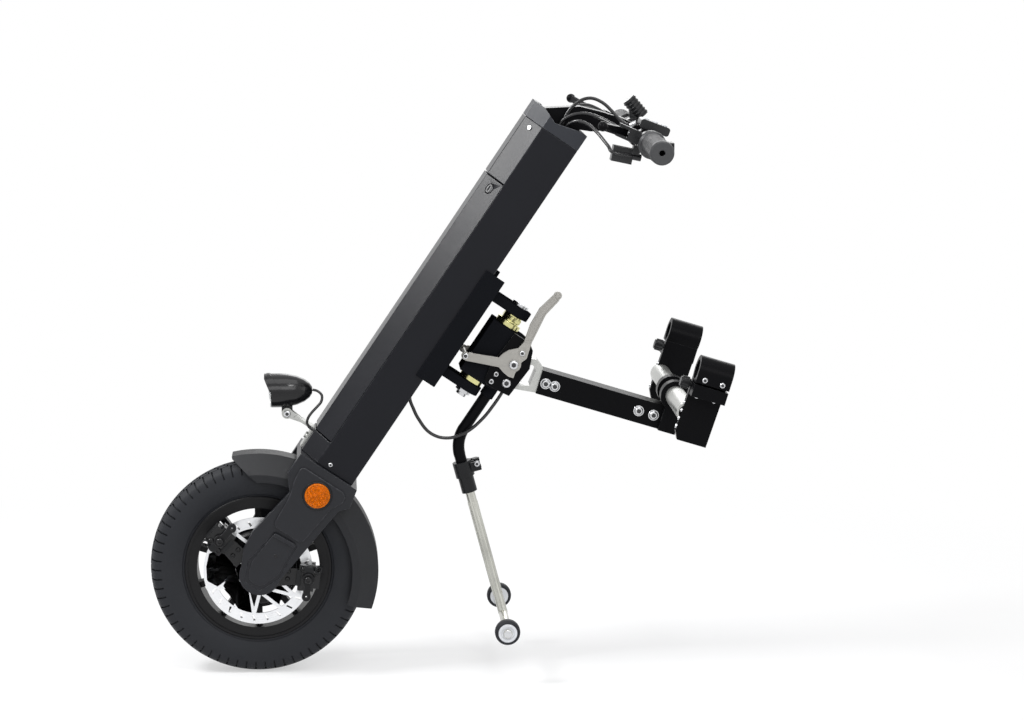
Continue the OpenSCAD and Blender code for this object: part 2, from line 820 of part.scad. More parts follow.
// Bearing cups above and below the steering head, and the lock nut on top
module head_bearings() {
    color([0.72, 0.66, 0.35]) on_column() translate([steer_x, 0, 0]) {
        difference() {
            union() {
                translate([0, 0, head_z1 - 16]) cylinder(r = cup_r, h = 17);
                translate([0, 0, head_z1]) cylinder(r = cup_flange_r, h = 8);
                translate([0, 0, head_z1 + 8])
                    cylinder(r = cup_flange_r - 5, h = arm_high_z - head_z1 - 8 - gap);
            }
            translate([0, 0, head_z1 - 20]) cylinder(r = steer_r + run, h = 60);
        }
        difference() {
            union() {
                translate([0, 0, head_z0 - 1]) cylinder(r = cup_r, h = 16);
                translate([0, 0, arm_low_z + steer_arm_t + gap])
                    cylinder(r = cup_flange_r - 1, h = head_z0 - arm_low_z - steer_arm_t - gap);
            }
            translate([0, 0, head_z0 - 20]) cylinder(r = steer_r + run, h = 60);
        }
    }
}

plate_outline = [[bolt_d[0] - 9, bolt_d[1] - 5], [bolt_d[0] - 1, bolt_d[1] - 8], [149, 416], [164, 418], [167, 468], [156, 493],
    [149, 498], [137, 500], [119, 500], [116, 440]];

module side_plates() {
    color([0.07, 0.07, 0.08]) on_column() both_sides() difference() {
        slab(plate_y0, plate_y1) polygon(plate_outline);
        for (b = [latch_pivot, bolt_b])
            bar_y(dock_bolt_r, plate_y0 - 1, plate_y1 + 1, b[0], b[1]);
    }
}

dock_head_r = 6.5;
dock_head_h = 4;
small_head_r = 4;

// Bolts through the dock and the arm, with round heads on both sides
module dock_bolts() {
    color([0.8, 0.8, 0.82]) union() {
        on_column() {
            bar_y(dock_bolt_r, -latch_y1 - gap, latch_y1 + gap, latch_pivot[0], latch_pivot[1]);
            bar_y(dock_bolt_r, -plate_y1, plate_y1, bolt_b[0], bolt_b[1]);
            both_sides() {
                bar_y(dock_head_r, latch_y1 + gap, latch_y1 + gap + dock_head_h,
                    latch_pivot[0], latch_pivot[1]);
                bar_y(dock_head_r, plate_y1, plate_y1 + dock_head_h, bolt_b[0], bolt_b[1]);
                for (b = [bolt_c, bolt_d])
                    bar_y(small_head_r, plate_y1, plate_y1 + 2.5, b[0], b[1]);
            }
        }
        on_arm() for (s = arm_bolts_s) {
            bar_y(arm_bolt_r, -arm_w / 2, arm_w / 2, s, 0);
            both_sides() bar_y(arm_bolt_r + 2.5, arm_w / 2, arm_w / 2 + 4, s, 0);
        }
    }
}

// Latch lever: a cast handle on the left and a short link on the right, joined by a pin at the toe
latch_toe = [77, 433];
latch_grip = [140, 581];
latch_outline = [[79, 440], [119, 458], [121, 467], [125, 475], [135, 485], [137, 497], [130, 523],
    [128, 551], [135, 582], [145, 580], [141, 548], [147, 503], [154, 479], [151, 470], [152, 452],
    [154, 444], [146, 442], [137, 443], [127, 446], [80, 427]];
latch_link = [[79, 440], [119, 458], [125, 472], [143, 472], [152, 461], [146, 450], [127, 446], [80, 427]];
latch_pin_r = 3;

module latch_lever() {
    color([0.62, 0.6, 0.58]) on_column() difference() {
        union() {
            slab(-latch_y1, -latch_y0) {
                polygon(latch_outline);
                translate(latch_grip) circle(6);
            }
            slab(latch_y0, latch_y1) polygon(latch_link);
            both_sides() {
                bar_y(6, latch_y0, latch_y1, latch_toe[0], latch_toe[1]);
                bar_y(11, latch_y0, latch_y1, latch_pivot[0], latch_pivot[1]);
            }
            bar_y(5, -latch_y1 - 1.5, -latch_y1 + 1, 144, 482);
            bar_y(3, -latch_y1 - 2, -latch_y1 + 1, latch_grip[0], latch_grip[1]);
            bar_y(latch_pin_r, -latch_y1 + 1, latch_y1 - 1, latch_toe[0], latch_toe[1]);
        }
        bar_y(dock_bolt_r + run, -latch_y1 - 1, latch_y1 + 1, latch_pivot[0], latch_pivot[1]);
    }
}

// Arm and rear carrier

yoke_half_w = arm_w / 2 - arm_wall - 0.2;
yoke_hook = [[139, 470], [143, 474], [160, 479], [170, 484], [186, 478], [198, 443], [168, 430],
    [153, 428], [146, 432], [146, 439], [158, 440], [160, 455], [154, 455], [139, 453]];
yoke_window = [[163, 440], [171, 438], [183, 446], [178, 470], [170, 474], [162, 470]];

module arm_yoke() {
    color([0.72, 0.72, 0.73]) difference() {
        union() {
            difference() {
                on_column() slab(-yoke_half_w, yoke_half_w) difference() {
                    polygon(yoke_hook);
                    polygon(yoke_window);
                }
                on_arm() translate([0, -arm_w, -arm_h]) cube([arm_len, 2 * arm_w, 2 * arm_h]);
            }
            on_arm() translate([-1, -yoke_half_w, -arm_h / 2 + arm_wall + 0.2])
                cube([40, 2 * yoke_half_w, arm_h - 2 * arm_wall - 0.4]);
        }
        on_column() for (b = [latch_pivot, bolt_b])
            bar_y(dock_bolt_r, -40, 40, b[0], b[1]);
        on_arm() for (s = arm_bolts_s) bar_y(arm_bolt_r, -arm_w, arm_w, s, 0);
    }
}

module arm_bar() {
    color([0.06, 0.06, 0.07]) on_arm() difference() {
        translate([0, -arm_w / 2, -arm_h / 2]) cube([arm_len, arm_w, arm_h]);
        translate([-1, -arm_w / 2 + arm_wall, -arm_h / 2 + arm_wall])
            cube([arm_len + 2, arm_w - 2 * arm_wall, arm_h - 2 * arm_wall]);
        for (s = arm_bolts_s) bar_y(arm_bolt_r, -arm_w, arm_w, s, 0);
    }
}

saddle_r = cross_r + saddle_wall;

// Saddle that carries the cross tube on the end of the arm, with a tongue inside the bar
module tube_saddle() {
    tongue_h = arm_h / 2 - arm_wall - 0.2;
    color([0.05, 0.05, 0.06]) on_arm() difference() {
        union() {
            translate([arm_len - 50, -yoke_half_w, -tongue_h]) cube([50, 2 * yoke_half_w, 2 * tongue_h]);
            translate([arm_len, -saddle_w / 2, -arm_h / 2])
                cube([cross_s + saddle_r - 6 - arm_len, saddle_w, cross_t + arm_h / 2]);
            bar_y(saddle_r, -saddle_w / 2, saddle_w / 2, cross_s, cross_t);
        }
        bar_y(cross_r, -saddle_w, saddle_w, cross_s, cross_t);
        translate([arm_len - 60, -saddle_w, arm_h / 2]) cube([60, 2 * saddle_w, 1]);
        translate([cross_s - saddle_r - 1, -14, arm_h / 2 + 1])
            cube([2 * saddle_r + 2, 28, saddle_r + cross_t]);
        for (s = arm_bolts_s) bar_y(arm_bolt_r, -arm_w, arm_w, s, 0);
    }
}

module cross_tube() {
    color([0.75, 0.75, 0.77]) on_arm() difference() {
        bar_y(cross_r, -cross_end, cross_end, cross_s, cross_t);
        bar_y(cross_r - 3, -cross_end - 1, cross_end + 1, cross_s, cross_t);
    }
}

clamp_r = frame_tube_d / 2 + run;
clamp_s0 = clamp_mid_s - clamp_len / 2;
clamp_foot_t = -2;
clamp_slit = 3;

// Frame clamp on the right: a plate on the cross tube and a split ring for the frame tube
module frame_clamp() {
    y0 = clamp_plate_y - clamp_plate_t / 2;
    color([0.05, 0.05, 0.06]) on_arm() difference() {
        union() {
            slab(y0, y0 + clamp_plate_t) polygon([[clamp_s0 - 2, clamp_foot_t + 12],
                [clamp_s0, clamp_rise], [clamp_s0 + clamp_len, clamp_rise],
                [clamp_s0 + clamp_len - 3, clamp_foot_t], [clamp_s0 + 4, clamp_foot_t]]);
            translate([clamp_s0, y0, knob_t - 13])
                cube([clamp_len, clamp_y + clamp_top_r - y0, clamp_rise - knob_t + 13]);
            translate([clamp_s0, clamp_y, clamp_rise]) rotate([0, 90, 0])
                cylinder(r = clamp_top_r, h = clamp_len);
        }
        translate([clamp_s0 - 1, clamp_y, clamp_rise]) rotate([0, 90, 0])
            cylinder(r = clamp_r, h = clamp_len + 2);
        translate([clamp_s0 - 1, clamp_y, clamp_rise - clamp_r - 5])
            cube([clamp_len + 2, clamp_top_r + 5, clamp_slit]);
        translate([clamp_s0 - 1, clamp_y - clamp_slit, clamp_rise - clamp_r - 5])
            cube([clamp_len + 2, clamp_slit, clamp_r]);
        bar_y(cross_r, y0 - 1, cross_end, cross_s, cross_t);
        translate([clamp_s0 - 1, clamp_plate_y, knob_t]) rotate([0, 90, 0])
            cylinder(r = knob_stud_r + run, h = clamp_len * 0.5);
    }
}

module frame_clamp_right() {
    frame_clamp();
}

module frame_clamp_left() {
    mirror([0, 1, 0]) frame_clamp();
}

knob_lobes = 6;
knob_len = 14;
knob_off = 2;

// Star knob with its stud, in front of the right clamp
module clamp_knob() {
    color([0.08, 0.08, 0.08]) on_arm() translate([clamp_s0, clamp_plate_y, knob_t]) {
        translate([-knob_len - knob_off, 0, 0]) rotate([0, 90, 0]) cylinder(r = knob_r - 2, h = knob_len);
        for (k = [0 : knob_lobes - 1])
            rotate([360 * k / knob_lobes, 0, 0]) translate([-knob_len - knob_off + 2, 0, knob_r - 3])
                rotate([0, 90, 0]) cylinder(r = 3, h = knob_len - 4);
        translate([-knob_off - 1, 0, 0]) rotate([0, 90, 0])
            cylinder(r = knob_stud_r, h = clamp_len * 0.4 + knob_off);
    }
}

module clamp_knob_right() {
    clamp_knob();
}

module clamp_knob_left() {
    mirror([0, 1, 0]) clamp_knob();
}

// Stand

module stand_tube() {
    color([0.07, 0.07, 0.08]) difference() {
        union() {
            on_column() translate([stand_x, 0, stand_bend_z + bend_tangent - bend_lap])
                cylinder(r = stand_r, h = stand_top_z + 12 - stand_bend_z - bend_tangent + bend_lap);
            on_column() translate([stand_x + stand_bend_r, 0, stand_bend_z + bend_tangent])
                rotate([90, 0, 0]) rotate([0, 0, 180]) rotate_extrude(angle = bend_angle, $fn = 96)
                    translate([stand_bend_r, 0]) circle(stand_r + 0.3);
            on_leg() translate([0, 0, collar_z0])
                cylinder(r = stand_r, h = leg_reach - bend_tangent - collar_z0 + bend_lap);
        }
        on_leg() translate([0, 0, collar_z0 - 1])
            cylinder(r = stand_leg_r + run, h = leg_top_z + 13 - collar_z0 + 1);
    }
}

ear_half = 5;
ear_t = 3;
collar_pin_r = 3;
collar_rod_r = 2.5;
cam_y = ear_half + ear_t + 6;
cam_half_h = 8;

// Collar with two ears, the rod that draws them together, and the pin of the cam lever
module stand_collar() {
    z = collar_pivot_z;
    color([0.06, 0.06, 0.06]) on_leg() difference() {
        union() {
            translate([0, 0, collar_z0]) cylinder(r = collar_r, h = collar_z1 - collar_z0);
            translate([0, 0, sleeve_z0]) cylinder(r = sleeve_r, h = collar_z0 - sleeve_z0);
            both_sides() translate([stand_r, ear_half, z - 7])
                cube([collar_pivot_x + 5 - stand_r, ear_t, 14]);
            bar_y(collar_rod_r, -ear_half - 1, cam_y, collar_pivot_x, z);
            bar_y(collar_rod_r + 2, -ear_half - ear_t - 3, -ear_half - 1, collar_pivot_x, z);
            translate([collar_pivot_x, cam_y, z - cam_half_h])
                cylinder(r = collar_pin_r, h = 2 * cam_half_h);
        }
        translate([0, 0, collar_z0]) cylinder(r = stand_r, h = collar_z1);
        translate([0, 0, sleeve_z0 - 1]) cylinder(r = stand_leg_r + run, h = leg_reach);
    }
}

cam_r = 5.5;
cam_len = 34;

// Cam lever that lies along the collar's right side
module stand_collar_lever() {
    lug = collar_rod_r + gap;
    color([0.1, 0.1, 0.1]) on_leg() translate([collar_pivot_x, cam_y, collar_pivot_z]) difference() {
        union() {
            for (s = [0, 1])
                mirror([0, 0, s]) translate([0, 0, lug]) cylinder(r = cam_r, h = cam_half_h - lug);
            translate([-cam_len, cam_r - 1.5, -cam_half_h]) cube([cam_len + 2, 4, 2 * cam_half_h]);
        }
        translate([0, 0, -cam_half_h - 1]) cylinder(r = collar_pin_r + run, h = 2 * cam_half_h + 2);
    }
}

cross_pipe_r = 6.5;
roller_head = 3;

// Telescopic leg with the cross pipe and the rollers' pins
module stand_leg() {
    color([0.78, 0.78, 0.8]) on_leg() union() {
        cylinder(r = stand_leg_r, h = leg_top_z);
        bar_y(cross_pipe_r, -roller_y0 + gap, roller_y0 - gap);
        bar_y(roller_pin_r, -roller_y1 - gap - 1, roller_y1 + gap + 1);
        both_sides() bar_y(roller_pin_r + 2.5, roller_y1 + gap, roller_y1 + gap + roller_head);
    }
}

module roller() {
    translate([axle_x + roller_x, 0, roller_z]) turned_y([[roller_pin_r + run, roller_y0],
        [roller_r - 3, roller_y0], [roller_r, roller_y0 + 3], [roller_r, roller_y1 - 3],
        [roller_r - 3, roller_y1], [roller_pin_r + run, roller_y1]]);
}

module roller_right() {
    color([0.1, 0.1, 0.11]) roller();
}

module roller_left() {
    color([0.1, 0.1, 0.11]) mirror([0, 1, 0]) roller();
}

// Headlight

lamp_ear = 6;
lamp_ear_t = 3;
bracket_plate_t = 3;
bracket_plate_w = 24;

// Frame at the headlight's tilt pin
module at_lamp() {
    translate([axle_x + lamp_pivot[0], 0, lamp_pivot[1]]) children();
}

// Plate on the column's foot, a shelf and two ears that hold the tilt pin
module headlight_bracket() {
    front = -col_front;
    ear_x = lamp_pivot[0] * cos(lean) - (lamp_pivot[1] - axle_z) * sin(lean);
    ear_z = lamp_pivot[0] * sin(lean) + (lamp_pivot[1] - axle_z) * cos(lean);
    color([0.75, 0.75, 0.76]) on_column() union() {
        slab(-bracket_plate_w / 2, bracket_plate_w / 2) {
            translate([front - bracket_plate_t, crown_h + 1]) square([bracket_plate_t, 34]);
            translate([ear_x + 12, crown_h + 31]) square([front - ear_x - 12, 4]);
        }
        both_sides() slab(lamp_ear, lamp_ear + lamp_ear_t) {
            polygon([[ear_x - 4, ear_z - 7], [ear_x + 26, crown_h + 31], [ear_x + 26, crown_h + 35],
                [ear_x, ear_z + 7]]);
            translate([ear_x, ear_z]) circle(8);
        }
        bar_y(lamp_pin_r, -lamp_ear - 1, lamp_ear + 1, ear_x, ear_z);
        both_sides() bar_y(5, lamp_ear + lamp_ear_t - 1, lamp_ear + lamp_ear_t + 3, ear_x, ear_z);
        translate([front - bracket_plate_t - 3, 0, crown_h + 18]) rotate([0, 90, 0])
            cylinder(r = 5, h = 4);
    }
}

visor_len = 10;
lamp_shell_t = 3;
lug_half = lamp_ear - 0.5;

// Bullet body, open in front for the lens, with a visor over it and a lug below
module headlight_body() {
    rise = lamp_axis_z - lamp_pivot[1];
    x0 = lamp_front_x - lamp_pivot[0];
    x1 = x0 + lamp_len;
    color([0.1, 0.1, 0.1]) at_lamp() difference() {
        union() {
            translate([0, 0, rise]) rotate([0, 90, 0]) rotate_extrude($fn = 72)
                polygon([[0, x0], [lamp_r, x0], [lamp_r, x0 + 12], [lamp_r * 0.97, x0 + 24],
                    [lamp_r * 0.85, x0 + 38], [lamp_r * 0.66, x0 + 49], [lamp_r * 0.44, x0 + 56],
                    [lamp_r * 0.2, x1], [0, x1]]);
            intersection() {
                translate([x0 - visor_len, 0, rise]) rotate([0, 90, 0])
                    cylinder(r = lamp_r, h = visor_len + 2, $fn = 72);
                slab(-lamp_r, lamp_r) polygon([[x0 - visor_len, rise + lamp_r],
                    [x0 - visor_len, rise + lamp_r * 0.8], [x0 - 2, rise + 2], [x0 + 2, rise - 2],
                    [x0 + 2, rise + lamp_r]]);
            }
            slab(-lug_half, lug_half) {
                circle(8);
                translate([-8, 0]) square([16, 14]);
            }
        }
        translate([x0 - visor_len - 1, 0, rise]) rotate([0, 90, 0])
            cylinder(r = lamp_r - lamp_shell_t, h = visor_len + 13, $fn = 72);
        bar_y(lamp_pin_r + run, -lug_half - 1, lug_half + 1);
    }
}

module headlight_lens() {
    rise = lamp_axis_z - lamp_pivot[1];
    x0 = lamp_front_x - lamp_pivot[0];
    r = lamp_r - lamp_shell_t - run;
    color([0.85, 0.88, 0.9]) at_lamp() translate([0, 0, rise]) rotate([0, 90, 0])
        rotate_extrude($fn = 72) polygon([[0, x0 - 4], [r * 0.6, x0 - 2.5], [r - 1, x0 + 1], [r, x0 + 3],
            [r, x0 + 12], [0, x0 + 12]]);
}

module headlight_cable() {
    color([0.04, 0.04, 0.04]) cable(lamp_route, lamp_cable_d, 8);
}

// Handlebar and controls

stem_rise = bar_h - cap_top;
stem_outline = [[-24, cap_z + cap_floor], [-28, cap_top - 2], [14, cap_top + stem_rise * 0.674], [44, cap_top + stem_rise * 0.93],
    [75, bar_h + 6], [bar_x - 8, bar_h + 12], [bar_x - 8, bar_h - 12], [62, cap_top + stem_rise * 0.44],
    [48, cap_top + stem_rise * 0.186], [33, cap_top + 1], [32, cap_z + cap_floor]];

foot_len = 47;
foot_w = 60;
foot_t = 8;

// Foot under the cap's floor, a post through it, and a tall stem back to the bar
module handlebar_stem() {
    color([0.1, 0.1, 0.11]) on_column() difference() {
        union() {
            translate([post_x, 0, cap_z - foot_t]) cylinder(r = post_r, h = cap_floor + foot_t + 6);
            translate([post_x - foot_len / 2, -foot_w / 2, cap_z - foot_t]) cube([foot_len, foot_w, foot_t]);
            slab(-stem_half_w, stem_half_w) polygon(stem_outline);
            bar_y(bar_r + 7, -stem_boss, stem_boss, bar_x, bar_h);
        }
        bar_y(bar_r, -stem_boss - 1, stem_boss + 1, bar_x, bar_h);
    }
}

module handlebar() {
    color([0.12, 0.12, 0.13]) at_bar() difference() {
        bar_y(bar_r, -bar_end + 4, bar_end - 4);
        bar_y(bar_r - 2, -bar_end, bar_end);
    }
}

module grips() {
    color([0.13, 0.13, 0.14]) at_bar() both_sides() turned_y([[bar_r, grip_y0],
        [grip_r + 3, grip_y0], [grip_r + 3, grip_y0 + 3], [grip_r, grip_y0 + 4], [grip_r, bar_end - 2],
        [grip_r - 2, bar_end], [4, bar_end], [4, bar_end - 4], [bar_r, bar_end - 4]]);
}

perch_r = bar_r + 5;

// Turned so that -X points along the brake lever's reach on one side
module at_lever(side, tilt) {
    at_bar() rotate([0, tilt, 0]) scale_side(side) children();
}

module scale_side(side) {
    if (side > 0) children();
    else mirror([0, 1, 0]) children();
}

// Brake perch: a ring on the bar and a fork that holds the lever's pin
module perch() {
    half = lever_half_t + gap;
    difference() {
        union() {
            bar_y(perch_r, perch_y0, perch_y1);
            translate([-lever_reach + 9, perch_y0, -half - 4])
                cube([lever_reach - 12, perch_y1 - perch_y0, 2 * half + 8]);
            for (s = [0, 1]) mirror([0, 0, s]) translate([-lever_reach - 7, perch_y0, half])
                cube([lever_reach - 5, perch_y1 - perch_y0, 4]);
            translate([-lever_reach, perch_mid, -half - 3]) cylinder(r = lever_pin_r, h = 2 * half + 6);
        }
        bar_y(bar_r, perch_y0 - 1, perch_y1 + 1);
    }
}

switch_len = 30;
switch_w = 22;
switch_h = 22;
switch_tilt = 12;
switch_x = -46;
switch_y = perch_y0 - 7;
switch_z = -37;
gland_r = 5;
gland_len = 12;
horn_r = 10;
horn_x = 8;
horn_z = grip_r + horn_r + 3;
horn_y0 = perch_y1 + 5;
horn_len = 34;
horn_tilt = 40;

// Perches of both levers, the brake switch with its gland, the throttle's body and the horn on the right
module control_clamps() {
    color([0.07, 0.07, 0.08]) union() {
        at_lever(-1, lever_tilt_left) perch();
        at_lever(-1, switch_tilt) union() {
            translate([switch_x, switch_y - switch_w, switch_z]) cube([switch_len, switch_w, switch_h]);
            translate([-20, switch_y - 2, -21]) cube([11, 14, 12]);
            translate([switch_x + switch_len - 1, switch_y + gland_r - 1, switch_z + 12.5])
                rotate([0, 90, 0]) cylinder(r = gland_r, h = gland_len);
        }
        at_lever(1, lever_tilt_right) perch();
        at_bar() mirror([0, 1, 0]) turned_y([[bar_r, perch_y1 + gap], [perch_r + 3, perch_y1 + gap],
            [perch_r + 3, throttle_y0 - gap], [throttle_sleeve_r, throttle_y0 - gap],
            [throttle_sleeve_r, throttle_y1], [bar_r, throttle_y1]]);
        at_bar() difference() {
            union() {
                translate([horn_x, horn_y0 + 5, horn_z]) rotate([0, -horn_tilt, 0])
                    translate([0, 0, -horn_len / 2]) cylinder(r = horn_r, h = horn_len);
                bar_y(perch_r, horn_y0, horn_y0 + 10);
                translate([horn_x - 10, horn_y0, bar_r + 2]) cube([16, 10, horn_z - bar_r - 6]);
            }
            bar_y(bar_r, horn_y0 - 1, horn_y0 + 11);
        }
    }
}

ball_r = 7;
blade_t = 6;

// Brake lever blade, from its pin out to the ball at its tip
module lever_blade() {
    y2 = perch_y1 + 24;
    x2 = -lever_reach - 12;
    tip = -lever_tip_x;
    color([0.16, 0.16, 0.17]) difference() {
        union() {
            translate([-lever_reach, perch_mid, -lever_half_t])
                cylinder(r = 8, h = 2 * lever_half_t);
            translate([0, 0, -lever_half_t]) linear_extrude(height = 2 * lever_half_t)
                polygon([[-lever_reach - 8, perch_mid], [x2 - blade_t, y2], [tip, lever_tip_y],
                    [tip + blade_t, lever_tip_y], [x2 + 2, y2], [-lever_reach + 8, perch_mid + 2]]);
            translate([tip + blade_t / 2, lever_tip_y, 0]) sphere(r = ball_r);
        }
        translate([-lever_reach, perch_mid, -lever_half_t - 1])
            cylinder(r = lever_pin_r + run, h = 2 * lever_half_t + 2);
    }
}

module brake_lever_left() {
    at_lever(-1, lever_tilt_left) lever_blade();
}

module brake_lever_right() {
    at_lever(1, lever_tilt_right) lever_blade();
}

paddle_w = 24;

// Thumb paddle that turns on the throttle's sleeve
module throttle_lever() {
    color([0.2, 0.2, 0.21]) at_bar() mirror([0, 1, 0]) difference() {
        union() {
            bar_y(perch_r, throttle_y0, throttle_y1 - gap);
            translate([0, throttle_y0, -8]) cube([grip_r + 12, throttle_y1 - gap - throttle_y0, 12]);
            translate([grip_r + 5, throttle_y0, -12]) cube([8, paddle_w, 16]);
        }
        bar_y(throttle_sleeve_r + run, throttle_y0 - 1, throttle_y1 + 1);
    }
}

// Frame of the switch pod: X along it to the rear, Z out of its keys
module at_pod() {
    at_bar() rotate([0, pod_tilt, 0]) translate([pod_x, -(pod_y0 + pod_y1) / 2, pod_z]) children();
}

// Switch pod on the left of the stem, with its clamp ring
module switch_pod() {
    color([0.1, 0.1, 0.11]) difference() {
        union() {
            at_pod() slab(-pod_w / 2, pod_w / 2) {
                translate([-pod_len / 2, pod_round]) square([pod_len, pod_h - 2 * pod_round]);
                translate([pod_round - pod_len / 2, 0]) square([pod_len - 2 * pod_round, pod_h]);
                for (x = [-1, 1], z = [pod_round, pod_h - pod_round])
                    translate([x * (pod_len / 2 - pod_round), z]) circle(pod_round);
            }
            at_bar() bar_y(perch_r, -(pod_y0 + pod_y1) / 2 - 8, -(pod_y0 + pod_y1) / 2 + 8);
        }
        at_bar() bar_y(bar_r, -pod_y1, -pod_y0);
        at_pod() for (k = [-1, 0, 1])
            translate([k * button_pitch, 0, pod_h - 4]) cylinder(r = button_d / 2 + run, h = 5);
    }
}

module pod_button(k) {
    depth = 4 - button_travel - gap;
    color([0.75, 0.76, 0.78]) at_pod() translate([k * button_pitch, 0, pod_h - depth])
        cylinder(r = button_d / 2, h = depth + 1.5);
}

module pod_button_front() {
    pod_button(-1);
}

module pod_button_middle() {
    pod_button(0);
}

module pod_button_rear() {
    pod_button(1);
}

module control_cables() {
    color([0.05, 0.05, 0.05]) union() {
        cable(cable_a, cable_d);
        cable(cable_b, cable_d);
        cable(cable_c, cable_d);
        cable(cable_e, cable_d);
    }
}

module dock_cable() {
    color([0.05, 0.05, 0.05]) cable(dock_route, dock_cable_d);
}

tyre();
wheel_rim();
hub_motor();
brake_disc();
wheel_axle();
front_fasteners();
fork_crown();
fork_leg_left();
fork_leg_right();
mudguard();
reflector_bezels();
reflector_lenses();
calipers();
caliper_arm_front();
caliper_arm_rear();
brake_pads();
column_shell();
column_top_cap();
controller();
battery_case();
battery_cells();
battery_lock();
steering_bracket();
steering_bolt();
steering_head();
head_bearings();
side_plates();
dock_bolts();
latch_lever();
headlight_bracket();
headlight_body();
headlight_lens();
headlight_cable();
handlebar_stem();
handlebar();
grips();
control_clamps();
brake_lever_left();
brake_lever_right();
throttle_lever();
switch_pod();
pod_button_front();
pod_button_middle();
pod_button_rear();
control_cables();
dock_cable();
stand_tube();
stand_collar();
stand_collar_lever();
stand_leg();
roller_left();
roller_right();
arm_bar();
arm_yoke();
tube_saddle();
cross_tube();
frame_clamp_left();
frame_clamp_right();
clamp_knob_left();
clamp_knob_right();
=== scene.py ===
"""Dresses the clip-on front drive with finishes, fittings and cables, in a plain studio."""

import json
import math

import bmesh
import bpy
from mathutils import Matrix, Vector
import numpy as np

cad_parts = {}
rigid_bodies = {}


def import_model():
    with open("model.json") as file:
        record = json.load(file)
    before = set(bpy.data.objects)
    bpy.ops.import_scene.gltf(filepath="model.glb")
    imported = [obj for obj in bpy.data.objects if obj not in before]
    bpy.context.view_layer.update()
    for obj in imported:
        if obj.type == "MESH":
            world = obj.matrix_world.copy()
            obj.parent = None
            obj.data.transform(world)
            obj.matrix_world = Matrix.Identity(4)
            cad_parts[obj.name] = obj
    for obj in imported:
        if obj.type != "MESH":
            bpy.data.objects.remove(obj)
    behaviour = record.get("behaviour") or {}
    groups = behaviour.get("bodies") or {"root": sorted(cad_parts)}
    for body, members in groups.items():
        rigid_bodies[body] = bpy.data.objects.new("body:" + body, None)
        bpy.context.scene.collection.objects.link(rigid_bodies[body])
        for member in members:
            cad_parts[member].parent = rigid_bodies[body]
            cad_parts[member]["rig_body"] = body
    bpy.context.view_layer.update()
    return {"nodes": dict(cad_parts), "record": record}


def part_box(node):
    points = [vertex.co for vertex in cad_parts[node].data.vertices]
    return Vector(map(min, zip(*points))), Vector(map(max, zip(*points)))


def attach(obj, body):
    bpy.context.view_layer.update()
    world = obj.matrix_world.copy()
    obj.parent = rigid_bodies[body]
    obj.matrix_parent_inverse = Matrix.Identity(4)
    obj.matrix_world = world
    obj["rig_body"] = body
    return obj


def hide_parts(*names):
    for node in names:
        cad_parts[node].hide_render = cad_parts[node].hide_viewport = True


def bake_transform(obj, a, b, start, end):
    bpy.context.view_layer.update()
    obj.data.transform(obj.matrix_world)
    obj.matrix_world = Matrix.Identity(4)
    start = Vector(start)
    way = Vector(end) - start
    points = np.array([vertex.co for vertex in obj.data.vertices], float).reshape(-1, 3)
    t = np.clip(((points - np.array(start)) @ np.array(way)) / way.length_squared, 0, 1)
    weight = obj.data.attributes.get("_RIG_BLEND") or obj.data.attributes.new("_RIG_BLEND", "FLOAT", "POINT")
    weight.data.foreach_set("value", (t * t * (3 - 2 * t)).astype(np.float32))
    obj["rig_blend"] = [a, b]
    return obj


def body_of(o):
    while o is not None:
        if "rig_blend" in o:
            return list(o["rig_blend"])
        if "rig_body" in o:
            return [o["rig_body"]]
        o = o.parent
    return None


bl_info = {
    "name": "Clip-on front drive",
    "version": (1, 0, 0),
    "blender": (4, 5, 0),
    "location": "View3D > Sidebar > Drive",
    "description": "Finishes, fittings, cables and a plain studio for the clip-on front drive",
    "category": "Object",
}

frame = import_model()

MM = 0.001
SLOT_OF = {p["node"]: p["material_slot"] for p in frame["record"]["subparts"]}


def middle(node):
    low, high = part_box(node)
    return (Vector(low) + Vector(high)) / 2


def half_size(node):
    """Half of a node's box, in millimetres."""
    low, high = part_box(node)
    return (Vector(high) - Vector(low)) / 2 / MM


def shift(x, y, z):
    return Matrix.Translation(Vector((x, y, z)))


def turn(degrees, axis):
    return Matrix.Rotation(math.radians(degrees), 4, axis)


# Frames of the object's groups: pieces are drawn in millimetres in one of these
COLUMN_LEAN, ARM_DROP, LEG_LEAN = 34, 17, -14.887  # degrees
ARM_START, LAMP_PIVOT = (0.415, 0, 0.2735), (0.045, 0, 0.2285)  # metres from the axle
AXLE = Matrix.Translation(middle("tyre"))
COLUMN = AXLE @ turn(COLUMN_LEAN, "Y")
ARM = AXLE @ shift(*ARM_START) @ turn(ARM_DROP, "Y")
LEG = Matrix.Translation((middle("roller_left") + middle("roller_right")) / 2) @ turn(LEG_LEAN, "Y")
BAR = Matrix.Translation(middle("handlebar"))
LAMP = AXLE @ shift(*LAMP_PIVOT)

# Bolts and nuts stand along Y: these turn them to the left side or upwards
LEFT, UP = turn(180, "X"), turn(90, "X")


def srgb(r, g, b):
    """A colour as seen on screen, 0 to 255, as Blender's linear colour."""
    return tuple((c / 255 / 12.92) if c < 11 else ((c / 255 + 0.055) / 1.055) ** 2.4 for c in (r, g, b))


def colour_prop(name, r, g, b):
    return bpy.props.FloatVectorProperty(name=name, description=f"Colour of the {name.lower()}",
        subtype="COLOR", size=3, min=0, max=1, default=srgb(r, g, b))


def length_prop(name, description, default):
    return bpy.props.FloatProperty(name=name, description=description, default=default,
        unit="LENGTH", subtype="DISTANCE")


